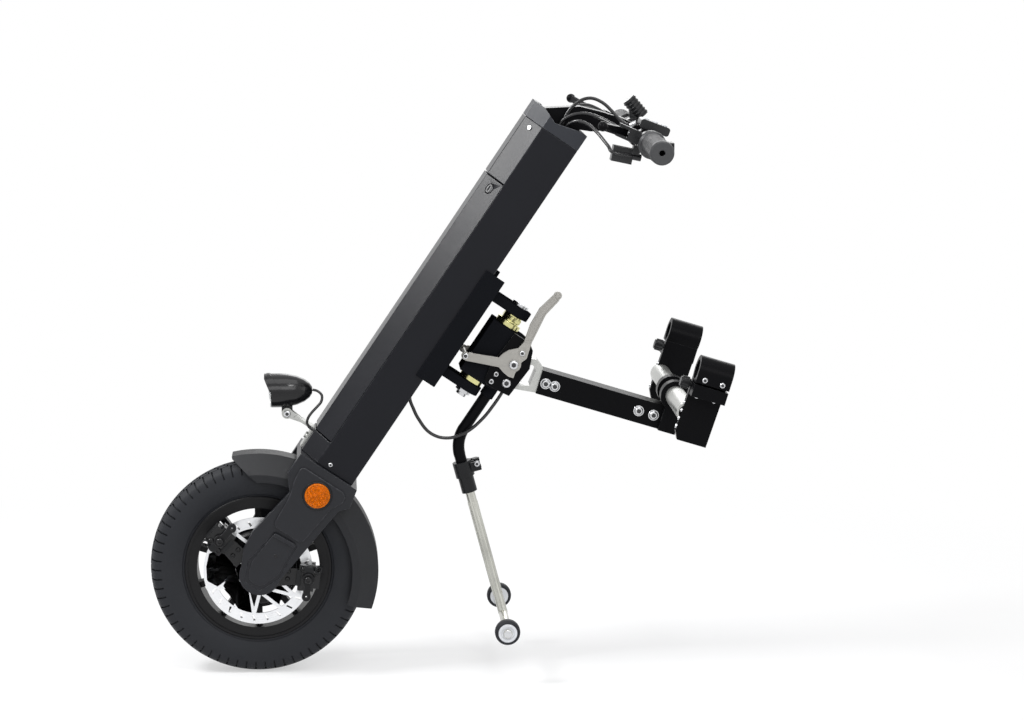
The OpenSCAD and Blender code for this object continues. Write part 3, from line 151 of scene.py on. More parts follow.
class DriveColours(bpy.types.PropertyGroup):
    """Colours of the finishes."""
    tyre_rubber: colour_prop("Tyre rubber", 23, 25, 30)
    cast_black: colour_prop("Cast wheel", 14, 14, 16)
    disc_steel: colour_prop("Brake disc", 232, 233, 235)
    bright_steel: colour_prop("Bright steel", 205, 206, 208)
    drawn_steel: colour_prop("Drawn steel", 186, 186, 179)
    column_paint: colour_prop("Column paint", 19, 20, 25)
    fork_paint: colour_prop("Fork paint", 30, 31, 35)
    black_paint: colour_prop("Black paint", 11, 11, 13)
    matt_black: colour_prop("Matt black", 22, 23, 26)
    guard_plastic: colour_prop("Mudguard", 30, 31, 34)
    black_plastic: colour_prop("Black plastic", 17, 18, 20)
    cap_plastic: colour_prop("Top cap", 44, 46, 51)
    control_plastic: colour_prop("Controls", 24, 25, 27)
    gloss_black: colour_prop("Gloss black", 17, 17, 19)
    amber: colour_prop("Amber reflector", 222, 112, 2)
    zinc: colour_prop("Yellow zinc", 216, 212, 152)
    cast_grey: colour_prop("Cast lever", 158, 156, 151)
    alloy: colour_prop("Forged alloy", 182, 183, 180)
    rubber: colour_prop("Grip rubber", 46, 47, 49)
    cable_black: colour_prop("Cable jacket", 20, 20, 22)
    key_white: colour_prop("Keys", 214, 216, 220)
    floor: colour_prop("Floor", 246, 246, 247)


class DriveSizes(bpy.types.PropertyGroup):
    """Sizes that a user would change."""
    tread_depth: length_prop("Tread depth", "Depth of the grooves between tread blocks", 3.4 * MM)
    paint_edge: length_prop("Painted edge", "Rounding of the fork crown's painted edges", 1.2 * MM)
    cable: length_prop("Cable", "Diameter of a control cable", 5 * MM)
    lamp_cable: length_prop("Lamp lead", "Diameter of the headlight's lead", 4 * MM)
    tread_blocks: bpy.props.IntProperty(name="Tread blocks", description="Tread blocks round the tyre",
        default=66, min=24, max=120)


# Shared effects

def new_group(name, inputs, outputs):
    """An empty shader node group: a vector and the named inputs go in, the named outputs come out."""
    group = bpy.data.node_groups.new(name, "ShaderNodeTree")
    for label, default in {"Vector": None, **inputs}.items():
        kind = "Float" if isinstance(default, float) else "Vector"
        socket = group.interface.new_socket(label, in_out="INPUT", socket_type=f"NodeSocket{kind}")
        if default is not None:
            socket.default_value = default
    for label in outputs:
        group.interface.new_socket(label, in_out="OUTPUT", socket_type="NodeSocketFloat")
    return group, group.nodes.new("NodeGroupInput").outputs, group.nodes.new("NodeGroupOutput").inputs


def add_node(tree, kind, links=(), **settings):
    """A node with its settings, and its inputs set to values or linked to sockets."""
    node = tree.nodes.new(f"ShaderNode{kind}")
    for key, value in settings.items():
        setattr(node, key, value)
    for key, value in links:
        if isinstance(value, bpy.types.NodeSocket):
            tree.links.new(value, node.inputs[key])
        else:
            node.inputs[key].default_value = value
    return node


def ramp_value(tree, value, low, high, to_low=0.0, to_high=1.0):
    return add_node(tree, "MapRange", [(0, value), (1, low), (2, high), (3, to_low),
        (4, to_high)]).outputs[0]


def calc(tree, operation, a, b):
    return add_node(tree, "Math", [(0, a), (1, b)], operation=operation).outputs[0]


def noise(tree, vector, scale, detail, rough=0.5):
    return add_node(tree, "TexNoise", [("Vector", vector), ("Scale", scale), ("Detail", detail),
        ("Roughness", rough)]).outputs[0]


def mix_colour(tree, factor, a, b):
    """A mix of two colours, each a socket or a plain colour."""
    a, b = (c if isinstance(c, bpy.types.NodeSocket) else (*c, 1) for c in (a, b))
    return add_node(tree, "Mix", [(0, factor), (6, a), (7, b)], data_type="RGBA").outputs[2]


def bump_node(tree, strength, distance, height):
    return add_node(tree, "Bump", [("Strength", strength), ("Distance", distance),
        ("Height", height)]).outputs[0]


def grain_group(name):
    """Fine surface grain over a slow unevenness."""
    tree, given, out = new_group(name, dict(Scale=900.0, Contrast=0.2), ["Value", "Slow"])
    fine = noise(tree, given["Vector"], given["Scale"], 3.0, 0.6)
    slow = noise(tree, given["Vector"], 14.0, 3.0)
    low = calc(tree, "SUBTRACT", 0.5, given["Contrast"])
    high = calc(tree, "ADD", 0.5, given["Contrast"])
    tree.links.new(ramp_value(tree, fine, low, high), out["Value"])
    tree.links.new(ramp_value(tree, slow, 0.3, 0.7), out["Slow"])
    return tree


def wear_and_highlight_group(name):
    """Rubbed edges with a painted highlight along them: the rounded faces, broken up by noise."""
    tree, given, out = new_group(name, dict(Edge=0.0, Amount=0.5, Scale=160.0), ["Mask"])
    spots = ramp_value(tree, noise(tree, given["Vector"], given["Scale"], 4.0, 0.65), 0.42, 0.66)
    broken = calc(tree, "MULTIPLY", given["Edge"], spots)
    tree.links.new(calc(tree, "MULTIPLY", broken, given["Amount"]), out["Mask"])
    return tree


def dust_group(name):
    """Pale dust that settles on faces that look upwards."""
    tree, given, out = new_group(name, dict(Amount=0.2), ["Mask"])
    normal = add_node(tree, "NewGeometry").outputs["Normal"]
    up = add_node(tree, "SeparateXYZ", [(0, normal)]).outputs[2]
    patches = ramp_value(tree, noise(tree, given["Vector"], 26.0, 8.0, 0.75), 0.3, 0.8, 0.5, 1.0)
    spread = calc(tree, "MULTIPLY", ramp_value(tree, up, -0.2, 1.0), patches)
    tree.links.new(calc(tree, "MULTIPLY", spread, given["Amount"]), out["Mask"])
    return tree


def brushed_group(name):
    """Fine lines along one direction: the vector is stretched before the noise."""
    tree, given, out = new_group(name, dict(Stretch=(1.0, 1.0, 0.02), Scale=900.0), ["Value"])
    stretched = add_node(tree, "VectorMath", [(0, given["Vector"]), (1, given["Stretch"])],
        operation="MULTIPLY").outputs[0]
    tree.links.new(ramp_value(tree, noise(tree, stretched, given["Scale"], 4.0, 0.6), 0.3, 0.7), out["Value"])
    return tree


def turned_group(name):
    """Rings about the Y axis, as a lathe or a mould leaves them."""
    tree, given, out = new_group(name, dict(Scale=600.0), ["Value"])
    flat = add_node(tree, "VectorMath", [(0, given["Vector"]), (1, (1.0, 0.0, 1.0))],
        operation="MULTIPLY").outputs[0]
    radius = add_node(tree, "VectorMath", [(0, flat)], operation="LENGTH").outputs["Value"]
    marks = add_node(tree, "TexNoise", [("W", radius), ("Scale", given["Scale"]), ("Detail", 3.0)],
        noise_dimensions="1D").outputs[0]
    tree.links.new(ramp_value(tree, marks, 0.3, 0.7), out["Value"])
    return tree


EFFECTS = {"grain": grain_group, "wear": wear_and_highlight_group, "dust": dust_group, "brushed": brushed_group,
    "turned": turned_group}


def effect(tree, kind, vector, **values):
    """A shared effect placed in a material, built the first time that it is asked for."""
    name = f"drive {kind}"
    group = bpy.data.node_groups.get(name) or EFFECTS[kind](name)
    return add_node(tree, "Group", [("Vector", vector), *values.items()], node_tree=group).outputs


def local_coords(tree, place=None):
    """Object coordinates, or those of one of the object's frames."""
    coords = add_node(tree, "TexCoord").outputs["Object"]
    if place is None:
        return coords
    back = place.inverted()
    return add_node(tree, "Mapping", [("Vector", coords), ("Location", back.to_translation()),
        ("Rotation", back.to_euler())]).outputs[0]


def face_mark(tree, name):
    """A value that the piece's faces carry, 0 where they carry none."""
    return add_node(tree, "Attribute", attribute_name=name).outputs["Fac"]


def new_material(name):
    """A material, its node tree and the sockets of its surface."""
    material = bpy.data.materials.new(name)
    material.use_nodes = True
    return material, material.node_tree, material.node_tree.nodes["Principled BSDF"].inputs


GRAIN_CONTRAST = 0.22
GRAIN_DEPTH, LENS_DEPTH = 0.4 * MM, 0.6 * MM
# The first colour is painted shade for the sockets of bolts; the second is the colour of pale dust.
SOCKET_SHADE_COLOUR, DUST_COLOUR = (0.01, 0.01, 0.011), (0.42, 0.41, 0.39)


def finish(name, colour, rough, grain, bump, tint, metal=0.0, spread=0.08, wear=0.0, worn=None, recess=0.0,
        dust=0.0, lines=None, place=None, rings=0.0, specular=0.5, **sockets):
    """A material: base colour with grain and unevenness, edges rubbed to the worn colour, which also paints a
    highlight along them, dust, and a bump of its texture. recess is painted shade that darkens the sockets of
    bolts, lines is a stretch vector for brushed metal, and rings is the scale of turned marks."""
    material, tree, surface = new_material(name)
    vector = local_coords(tree, place)
    colour = tuple(colour)
    texture = effect(tree, "grain", vector, Scale=grain, Contrast=GRAIN_CONTRAST)
    height = texture["Value"]
    if lines is not None:
        height = effect(tree, "brushed", vector, Stretch=lines, Scale=grain)["Value"]
    if rings:
        height = effect(tree, "turned", vector, Scale=rings)["Value"]
    uneven = calc(tree, "MULTIPLY", calc(tree, "ADD", height, texture["Slow"]), 0.5)
    dark = tuple(c * (1 - tint) for c in colour)
    pale = tuple(min(1.0, c * (1 + tint)) for c in colour)
    base = mix_colour(tree, uneven, dark, pale)
    roughness = ramp_value(tree, uneven, 0.0, 1.0, max(0.03, rough - spread), min(1.0, rough + spread))
    # Rubbed edges mixed to the worn colour: this also paints a highlight along the rounded edges, and
    # non-metals turn partly metallic there.
    if wear:
        mask = effect(tree, "wear", vector, Edge=face_mark(tree, "edge"), Amount=wear)["Mask"]
        base = mix_colour(tree, mask, base, worn)
        if not metal:
            tree.links.new(calc(tree, "MULTIPLY", mask, 0.8), surface["Metallic"])
    # Painted shade: faces marked as inside a bolt's socket are darkened to near-black.
    if recess:
        hollow = calc(tree, "MULTIPLY", face_mark(tree, "hollow"), recess)
        base = mix_colour(tree, hollow, base, SOCKET_SHADE_COLOUR)
    if dust:
        mask = effect(tree, "dust", vector, Amount=dust)["Mask"]
        base = mix_colour(tree, mask, base, DUST_COLOUR)
        roughness = calc(tree, "MAXIMUM", roughness, calc(tree, "MULTIPLY", mask, 2.0))
    tree.links.new(base, surface["Base Color"])
    tree.links.new(roughness, surface["Roughness"])
    tree.links.new(bump_node(tree, bump, GRAIN_DEPTH, height), surface["Normal"])
    if metal:
        surface["Metallic"].default_value = metal
    surface["Specular IOR Level"].default_value = specular
    for key, value in sockets.items():
        surface[key.replace("_", " ")].default_value = value
    return material


def amber_finish(name):
    """Amber lens with a field of small prisms behind a smooth face, with painted highlights and shade on the
    prisms.
    """
    material, tree, surface = new_material(name)
    colour = tuple(bpy.context.scene.drive_colours.amber)
    cells = add_node(tree, "TexVoronoi", [("Vector", local_coords(tree, COLUMN)), ("Scale", 420.0),
        ("Randomness", 0.6)]).outputs
    # Painted light and shade of the prisms: each cell is lighter at its centre and darker towards its edges,
    # and some cells are darker as a whole; the same pattern gives the bump.
    facet_shade_and_height = ramp_value(tree, cells["Distance"], 0.1, 0.75)
    painted_facet_shade = add_node(tree, "SeparateColor", [(0, cells["Color"])]).outputs[0]
    painted_facet_light, deep, dark = (tuple(min(1.0, c * level) for c in colour) for level in (1.2, 0.7, 0.35))
    base = mix_colour(tree, facet_shade_and_height, painted_facet_light, deep)
    base = mix_colour(tree, calc(tree, "MULTIPLY", painted_facet_shade, 0.6), base, dark)
    tree.links.new(base, surface["Base Color"])
    tree.links.new(bump_node(tree, 0.5, LENS_DEPTH, facet_shade_and_height), surface["Normal"])
    surface["Roughness"].default_value = 0.3
    surface["Specular IOR Level"].default_value = 0.15
    return material


def lens_finish(name):
    """Clear lamp glass with moulded flutes."""
    material, tree, surface = new_material(name)
    flutes = add_node(tree, "TexWave", [("Vector", local_coords(tree, LAMP)), ("Scale", 55.0)],
        bands_direction="Y").outputs["Fac"]
    tree.links.new(bump_node(tree, 0.3, LENS_DEPTH, flutes), surface["Normal"])
    tree.links.new(ramp_value(tree, flutes, 0.0, 1.0, 0.04, 0.12), surface["Roughness"])
    surface["Base Color"].default_value = (0.94, 0.96, 0.97, 1)
    surface["Transmission Weight"].default_value = 0.92
    surface["IOR"].default_value = 1.49
    return material


# The finishes, most of them named for the record's slots: the material's name, roughness, scale of the grain,
# bump, tint and further settings, or its own function. The colour is the drive colour of that name, unless it
# is given.
FINISHES = {
    "tyre_rubber": ("Tyre rubber", 0.62, 1400, 0.2, 0.14, dict(dust=0.012, place=AXLE, specular=0.3)),
    "cast_black": ("Cast black", 0.4, 700, 0.22, 0.12, dict(wear=0.3, worn=(0.2, 0.2, 0.21), specular=0.22)),
    "disc_steel": ("Disc steel", 0.34, 900, 0.12, 0.05, dict(metal=0.75, rings=900, place=AXLE)),
    # Bright steel carries painted shade in the sockets of its bolts.
    "bright_steel": ("Bright steel", 0.24, 500, 0.05, 0.06, dict(metal=1.0, recess=0.9)),
    "drawn_steel": ("Drawn steel", 0.26, 700, 0.3, 0.3, dict(metal=1.0, lines=(1, 1, 0.02), place=LEG)),
    "column_paint": ("Column paint", 0.3, 2200, 0.06, 0.08, dict(spread=0.03, wear=0.15,
        worn=(0.1, 0.1, 0.11), specular=0.17)),
    "fork_paint": ("Fork paint", 0.36, 1700, 0.2, 0.1, dict(spread=0.05, wear=0.3, worn=(0.1, 0.1, 0.11),
        specular=0.25)),
    "black_paint": ("Black paint", 0.3, 1500, 0.06, 0.1, dict(spread=0.04, wear=0.25, worn=(0.2, 0.2, 0.21),
        dust=0.004, specular=0.05)),
    "matt_black": ("Matt black", 0.6, 1500, 0.06, 0.1, dict(specular=0.0)),
    "guard_plastic": ("Guard plastic", 0.5, 1500, 0.25, 0.08, dict(dust=0.03, specular=0.22)),
    "black_plastic": ("Black plastic", 0.36, 1500, 0.16, 0.12, dict(specular=0.25)),
    "cap_plastic": ("Cap plastic", 0.4, 1800, 0.1, 0.08, dict(wear=0.5, worn=(0.3, 0.3, 0.32), specular=0.2)),
    "control_plastic": ("Control plastic", 0.26, 1300, 0.1, 0.15, dict(wear=0.7, worn=(0.4, 0.4, 0.42),
        specular=0.4)),
    "gloss_black": ("Gloss black", 0.22, 300, 0.02, 0.1, dict(spread=0.04, specular=0.25, Coat_Weight=0.2,
        Coat_Roughness=0.1)),
    "amber": ("Amber reflector", amber_finish),
    "zinc": ("Yellow zinc", 0.22, 350, 0.06, 0.12, dict(metal=1.0)),
    "cast_grey": ("Cast lever", 0.42, 700, 0.3, 0.1, dict(metal=0.6, wear=0.3, worn=(0.62, 0.61, 0.6))),
    "alloy": ("Forged alloy", 0.34, 520, 0.2, 0.1, dict(metal=0.8)),
    "rubber": ("Grip rubber", 0.4, 1300, 0.2, 0.12, {}),
    "lens": ("Lamp glass", lens_finish),
    "cell_wrap": ("Cell wrap", 0.35, 300, 0.15, 0.15, dict(colour=(0.04, 0.1, 0.2))),
    "pad": ("Brake pad", 0.8, 900, 0.5, 0.3, dict(colour=(0.12, 0.09, 0.07))),
    "key_white": ("Key caps", 0.45, 1200, 0.1, 0.05, {}),
    "cable_black": ("Cable jacket", 0.26, 900, 0.08, 0.12, {}),
}


def named_finish(key):
    """The finish of that key, made the first time that it is asked for."""
    name, *row = FINISHES[key]
    known = bpy.data.materials.get(name)
    if known is not None:
        return known
    if len(row) == 1:
        return row[0](name)
    *values, more = row
    colour = more.get("colour") or getattr(bpy.context.scene.drive_colours, key)
    return finish(name, colour, *values, **{k: v for k, v in more.items() if k != "colour"})


# Modelling, in millimetres: each shape is a bmesh of its own, and a piece joins its shapes

def lathe(profile, steps=64, place=Matrix(), closed=False):
    """A profile of (radius, along) points turned about the place's Y axis."""
    bm = bmesh.new()
    verts = [bm.verts.new(place @ Vector((r, y, 0))) for r, y in profile]
    pairs = list(zip(verts, verts[1:])) + ([(verts[-1], verts[0])] if closed else [])
    edges = [bm.edges.new(pair) for pair in pairs]
    bmesh.ops.spin(bm, geom=verts + edges, cent=place.to_translation(),
        axis=place.to_3x3() @ Vector((0, 1, 0)), dvec=(0, 0, 0), angle=math.tau, steps=steps, use_merge=True)
    return bm


def drum(r, y0, y1, place=Matrix(), edge=0.6, steps=32):
    """A round bar along Y with rounded rims."""
    profile = [(0, y0), (r - edge, y0), (r, y0 + edge), (r, y1 - edge), (r - edge, y1), (0, y1)]
    return lathe(profile, steps, place)


def ring(r0, r1, y0, y1, place=Matrix(), edge=0.4, steps=48):
    """A ring about Y with rounded rims."""
    profile = [(r0, y0), (r1 - edge, y0), (r1, y0 + edge), (r1, y1 - edge), (r1 - edge, y1), (r0, y1)]
    return lathe(profile, steps, place, closed=True)


def socket_bolt(place, r, h, socket=0.52):
    """A round bolt head with a hexagon socket: it stands along the place's Y axis."""
    s = r * socket
    bm = lathe([(0, 0), (r, 0), (r, 0.4 * h), (0.93 * r, 0.75 * h), (0.74 * r, h), (s, h),
        (s * 0.97, 0.35 * h), (0, 0.35 * h)], 24, place)
    back = place.inverted()
    for v in bm.verts:
        p = back @ v.co
        if 0.1 * s < math.hypot(p.x, p.z) < 1.02 * s:
            angle = math.atan2(p.z, p.x) % (math.pi / 3) - math.pi / 6
            reach = 0.9 / math.cos(angle)
            v.co = place @ Vector((p.x * reach, p.y, p.z * reach))
    # Faces inside the socket are marked, and the finish darkens them as painted shade.
    hollow = bm.faces.layers.float.new("hollow")
    for face in bm.faces:
        p = back @ face.calc_center_median()
        if math.hypot(p.x, p.z) < 0.95 * s and 0.2 * h < p.y < 0.9 * h:
            face[hollow] = 1
    return bm


def bolts(rows, face=Matrix()):
    """Bolts at rows of (x, y, z, radius, height), all turned to one side."""
    return [socket_bolt(shift(x, y, z) @ face, r, h) for x, y, z, r, h in rows]


def bolt_circle(count, radius, y, r, h, first=0, face=Matrix()):
    """Bolts spread evenly round the Y axis."""
    places = [turn(360 / count * k + first, "Y") @ shift(radius, y, 0) for k in range(count)]
    return [socket_bolt(place @ face, r, h) for place in places]


def bevel(bm, geom, width, segments, affect="EDGES"):
    bmesh.ops.bevel(bm, geom=geom, offset=width, segments=segments, profile=0.5, affect=affect, material=-1,
        clamp_overlap=True)


def hex_nut(place, r, h, edge=0.5):
    """A hexagon nut or head that stands along the place's Y axis."""
    bm = bmesh.new()
    bmesh.ops.create_cone(bm, cap_ends=True, segments=6, radius1=r, radius2=r, depth=h,
        matrix=place @ shift(0, h / 2, 0) @ UP)
    bevel(bm, bm.edges[:], edge, segments=2)
    return bm


def block(place, size, edge):
    """A box of that size about the place's origin, with rounded edges."""
    bm = bmesh.new()
    bmesh.ops.create_cube(bm, size=1, matrix=place @ Matrix.Diagonal((*size, 1)))
    bevel(bm, bm.edges[:], edge, segments=3)
    return bm


def thicken(bm, vec):
    """Gives flat faces a thickness along a vector."""
    made = bmesh.ops.extrude_face_region(bm, geom=bm.faces[:], use_keep_orig=True)
    moved = [v for v in made["geom"] if isinstance(v, bmesh.types.BMVert)]
    bmesh.ops.translate(bm, vec=vec, verts=moved)
    bmesh.ops.recalc_face_normals(bm, faces=bm.faces[:])


def plate(outline, y0, y1, corner, hollow=0.0):
    """An outline of (x, z) points with rounded corners, from y0 to y1; hollow leaves a border that wide."""
    bm = bmesh.new()
    corners = [bm.verts.new((x, y0, z)) for x, z in outline]
    bm.faces.new(corners)
    bevel(bm, corners, corner, segments=5, affect="VERTICES")
    if hollow:
        inner = bmesh.ops.inset_region(bm, faces=bm.faces[:], thickness=hollow, use_boundary=True,
            use_even_offset=True)
        keep = set(inner["faces"])
        bmesh.ops.delete(bm, geom=[f for f in bm.faces if f not in keep], context="FACES")
    thicken(bm, (0, y1 - y0, 0))
    return bm


def to_mesh(bm, name):
    mesh = bpy.data.meshes.new(name)
    bm.to_mesh(mesh)
    bm.free()
    return mesh


def join(shapes):
    """One bmesh of several shapes, which are used up."""
    bm = bmesh.new()
    for shape in shapes:
        mesh = to_mesh(shape, "shape")
        bm.from_mesh(mesh)
        bpy.data.meshes.remove(mesh)
    return bm


def both_sides(shapes):
    """The shapes, and their mirror image across the middle plane."""
    bm = join(shapes)
    bmesh.ops.recalc_face_normals(bm, faces=bm.faces[:])
    image = bm.copy()
    bmesh.ops.transform(image, matrix=Matrix.Diagonal((1, -1, 1, 1)), verts=image.verts[:])
    bmesh.ops.reverse_faces(image, faces=image.faces[:])
    return [bm, image]


def add_object(name, data):
    obj = bpy.data.objects.new(name, data)
    bpy.context.scene.collection.objects.link(obj)
    return obj


def final_mesh(holder):
    """The mesh that an object's curve or modifiers give; the object itself is removed."""
    made = bpy.data.meshes.new_from_object(holder.evaluated_get(bpy.context.evaluated_depsgraph_get()))
    bpy.data.objects.remove(holder)
    return made


ROUNDED_ANGLE = 32  # degrees: an edge that is sharper than this is rounded


def round_edges(mesh, edge):
    """The mesh with its sharp edges rounded, and the rounded faces marked for the rubbed edges and their
    painted highlight.
    """
    name = mesh.name
    holder = add_object("holder", mesh)
    mesh.materials.append(mesh.materials[0])
    rounding = holder.modifiers.new("Rounded edges", "BEVEL")
    rounding.width = edge * MM
    rounding.segments = 2
    rounding.limit_method = "ANGLE"
    rounding.angle_limit = math.radians(ROUNDED_ANGLE)
    rounding.miter_outer = "MITER_ARC"
    rounding.use_clamp_overlap = True
    rounding.harden_normals = True
    rounding.material = 1
    made = final_mesh(holder)
    bpy.data.meshes.remove(mesh)
    made.name = name
    mark = made.attributes.new("edge", "FLOAT", "FACE")
    for face in made.polygons:
        mark.data[face.index].value = face.material_index
        face.material_index = 0
    made.materials.pop(index=1)
    return made


def settle(name, mesh, look, body, slot, replaces, edge, smooth):
    """Makes the piece's object, with its finish, its body and the nodes that it stands for."""
    mesh.materials.clear()
    mesh.materials.append(named_finish(look or slot))
    mesh.shade_smooth()
    mesh.set_sharp_from_angle(angle=math.radians(smooth))
    if edge:
        mesh = round_edges(mesh, edge)
    obj = add_object(name, mesh)
    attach(obj, body)
    if replaces:
        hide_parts(*replaces)


DRAWN_MERGE, CAD_MERGE = 0.002, 0.002 * MM  # points closer than this are one: millimetres, and metres
FLAT_ANGLE = 0.6  # degrees: CAD triangles that meet flatter than this are one face


def piece(name, place, slot, body, shapes, replaces=(), edge=0.0, smooth=38, look=None):
    """Joins and closes shapes drawn in millimetres, puts them in their frame and settles them."""
    bm = join(shapes)
    bmesh.ops.remove_doubles(bm, verts=bm.verts[:], dist=DRAWN_MERGE)
    bmesh.ops.recalc_face_normals(bm, faces=bm.faces[:])
    bmesh.ops.transform(bm, matrix=place @ Matrix.Scale(MM, 4), verts=bm.verts[:])
    settle(name, to_mesh(bm, name), look, body, slot, replaces, edge, smooth)


def dress(node, edge, slot=None, smooth=34, look=None):
    """A copy of a CAD node with its edges rounded by so many millimetres, in its finish."""
    solid = frame["nodes"][node]
    name = f"{node}_shape"
    bm = bmesh.new()
    bm.from_mesh(solid.data)
    bmesh.ops.remove_doubles(bm, verts=bm.verts[:], dist=CAD_MERGE)
    bmesh.ops.dissolve_limit(bm, angle_limit=math.radians(FLAT_ANGLE), verts=bm.verts[:], edges=bm.edges[:])
    settle(name, to_mesh(bm, name), look, body_of(solid)[0], slot or SLOT_OF[node], [node], edge, smooth)


def dress_all(edges):
    """Dresses each node of a table with its rounding."""
    for node, edge in edges.items():
        dress(node, edge)


def plain(*nodes):
    """CAD nodes that keep their own shape, in their finish."""
    for node in nodes:
        mesh = frame["nodes"][node].data
        mesh.materials.clear()
        mesh.materials.append(named_finish(SLOT_OF[node]))


# Operators: one for each group of pieces

SENSOR, LENS = 36, 98.1  # millimetres
CAMERA_PLACE = (-0.13847, -4.04727, 1.1451)
CAMERA_SIDE, CAMERA_DOWN = math.radians(3.58), math.radians(9.56)
FLOOR_RADIUS = 9
# Lamps: place, aim and size in metres, and watts
LAMPS = {
    "Key softbox": ((-1.53, -0.33, 1.93), (0.1, 0, 0.75), (0.55, 0.6), 36),
    "Top softbox": ((0.2, -0.6, 2.9), (0, 0, 0.4), (2.2, 1.6), 20),
    "Front softbox": ((0.5, -3.2, 2.0), (0, 0, 0.4), (2.0, 1.4), 30),
    "Fill softbox": ((2.2, -1.4, 1.2), (0.1, 0, 0.4), (1.2, 1.4), 5),
    "Rear softbox": ((0.6, 2.4, 1.6), (0, 0, 0.4), (1.6, 1.2), 16),
    "Small softbox": ((0.41, -1.0, 1.5), (-0.1, 0, 0.35), (0.25, 0.25), 3),
}


class DRIVE_OT_stage(bpy.types.Operator):
    """Camera at the photograph's angle, pale floor, white surround and soft lamps"""
    bl_idname = "drive.stage"
    bl_label = "Stage"

    def execute(self, context):
        scene = context.scene
        scene.view_settings.view_transform = "Standard"
        camera = add_object("Camera", bpy.data.cameras.new("Camera"))
        camera.data.sensor_width = SENSOR
        camera.data.lens = LENS
        camera.data.clip_end = 60
        camera.location = CAMERA_PLACE
        ahead = Vector((math.cos(CAMERA_DOWN) * math.sin(CAMERA_SIDE),
            math.cos(CAMERA_DOWN) * math.cos(CAMERA_SIDE), -math.sin(CAMERA_DOWN)))
        camera.rotation_euler = ahead.to_track_quat("-Z", "Y").to_euler()
        scene.camera = camera
        self.floor(scene)
        self.surround(scene)
        for name, (place, aim, size, power) in LAMPS.items():
            lamp = add_object(name, bpy.data.lights.new(name, "AREA"))
            lamp.data.shape = "RECTANGLE"
            lamp.data.size, lamp.data.size_y = size
            lamp.data.energy = power
            lamp.location = place
            lamp.rotation_euler = (Vector(aim) - Vector(place)).to_track_quat("-Z", "Y").to_euler()
        return {"FINISHED"}

    def floor(self, scene):
        bm = bmesh.new()
        bmesh.ops.create_circle(bm, cap_ends=True, segments=96, radius=FLOOR_RADIUS)
        mesh = to_mesh(bm, "Floor")
        floor = add_object("Floor", mesh)
        material, tree, surface = new_material("Pale floor")
        surface["Roughness"].default_value = 0.85
        coords = local_coords(tree)
        speck = effect(tree, "grain", coords, Scale=220.0, Contrast=0.3)["Value"]
        colour = tuple(scene.drive_colours.floor)
        darker = tuple(c * 0.985 for c in colour)
        tree.links.new(mix_colour(tree, speck, darker, colour), surface["Base Color"])
        far = add_node(tree, "VectorMath", [(0, coords)], operation="LENGTH").outputs["Value"]
        path = add_node(tree, "LightPath").outputs
        seen = calc(tree, "MAXIMUM", path["Is Camera Ray"], path["Is Glossy Ray"])
        fade = calc(tree, "MULTIPLY", ramp_value(tree, far, 0.5, 1.4, 0.5, 1.0), seen)
        glow = add_node(tree, "Emission", [("Color", (1, 1, 1, 1)), ("Strength", 1.0)])
        self.blend(tree, fade, tree.nodes["Principled BSDF"], glow, tree.nodes["Material Output"])
        mesh.materials.append(material)

    def surround(self, scene):
        world = bpy.data.worlds.new("White surround")
        scene.world = world
        world.use_nodes = True
        tree = world.node_tree
        light = tree.nodes["Background"]
        light.inputs[0].default_value = (0.98, 0.99, 1, 1)
        light.inputs[1].default_value = 0.42
        white = add_node(tree, "Background", [(0, (1, 1, 1, 1)), (1, 1.0)])
        path = add_node(tree, "LightPath").outputs
        seen = calc(tree, "MAXIMUM", path["Is Camera Ray"],
            calc(tree, "MAXIMUM", path["Is Glossy Ray"], path["Is Transmission Ray"]))
        self.blend(tree, seen, light, white, tree.nodes["World Output"])

    def blend(self, tree, factor, a, b, out):
        """Fades one shader into another, and sends the result to the output."""
        mix = add_node(tree, "MixShader", [(0, factor), (1, a.outputs[0]), (2, b.outputs[0])])
        tree.links.new(mix.outputs[0], out.inputs["Surface"])


def axle_points(route):
    """A route in millimetres, measured from the floor below the axle, as points in metres."""
    foot = Vector((AXLE.to_translation().x, 0, 0))
    return [foot + Vector(p) * MM for p in route]


def smooth_line(points, steps=6):
    """Points along one smooth curve through the route's points."""
    ends = [points[0] * 2 - points[1]] + points + [points[-1] * 2 - points[-2]]
    line = []
    for a, b, c, d in zip(ends, ends[1:], ends[2:], ends[3:]):
        for k in range(steps):
            t = k / steps
            line.append(0.5 * (2 * b + (c - a) * t + (2 * a - 5 * b + 4 * c - d) * t * t
                + (3 * b - a - 3 * c + d) * t ** 3))
    return line + [points[-1]]


def cable_mesh(name, line, diameter):
    """A round tube along a line of points, made from a curve."""
    curve = bpy.data.curves.new(name, "CURVE")
    curve.dimensions = "3D"
    curve.bevel_depth = diameter / 2
    curve.bevel_resolution = 4
    curve.use_fill_caps = True
    spline = curve.splines.new("POLY")
    spline.points.add(len(line) - 1)
    for point, place in zip(spline.points, line):
        point.co = (*place, 1)
    mesh = final_mesh(add_object(name, curve))
    mesh.name = name
    bpy.data.curves.remove(curve)
    return mesh


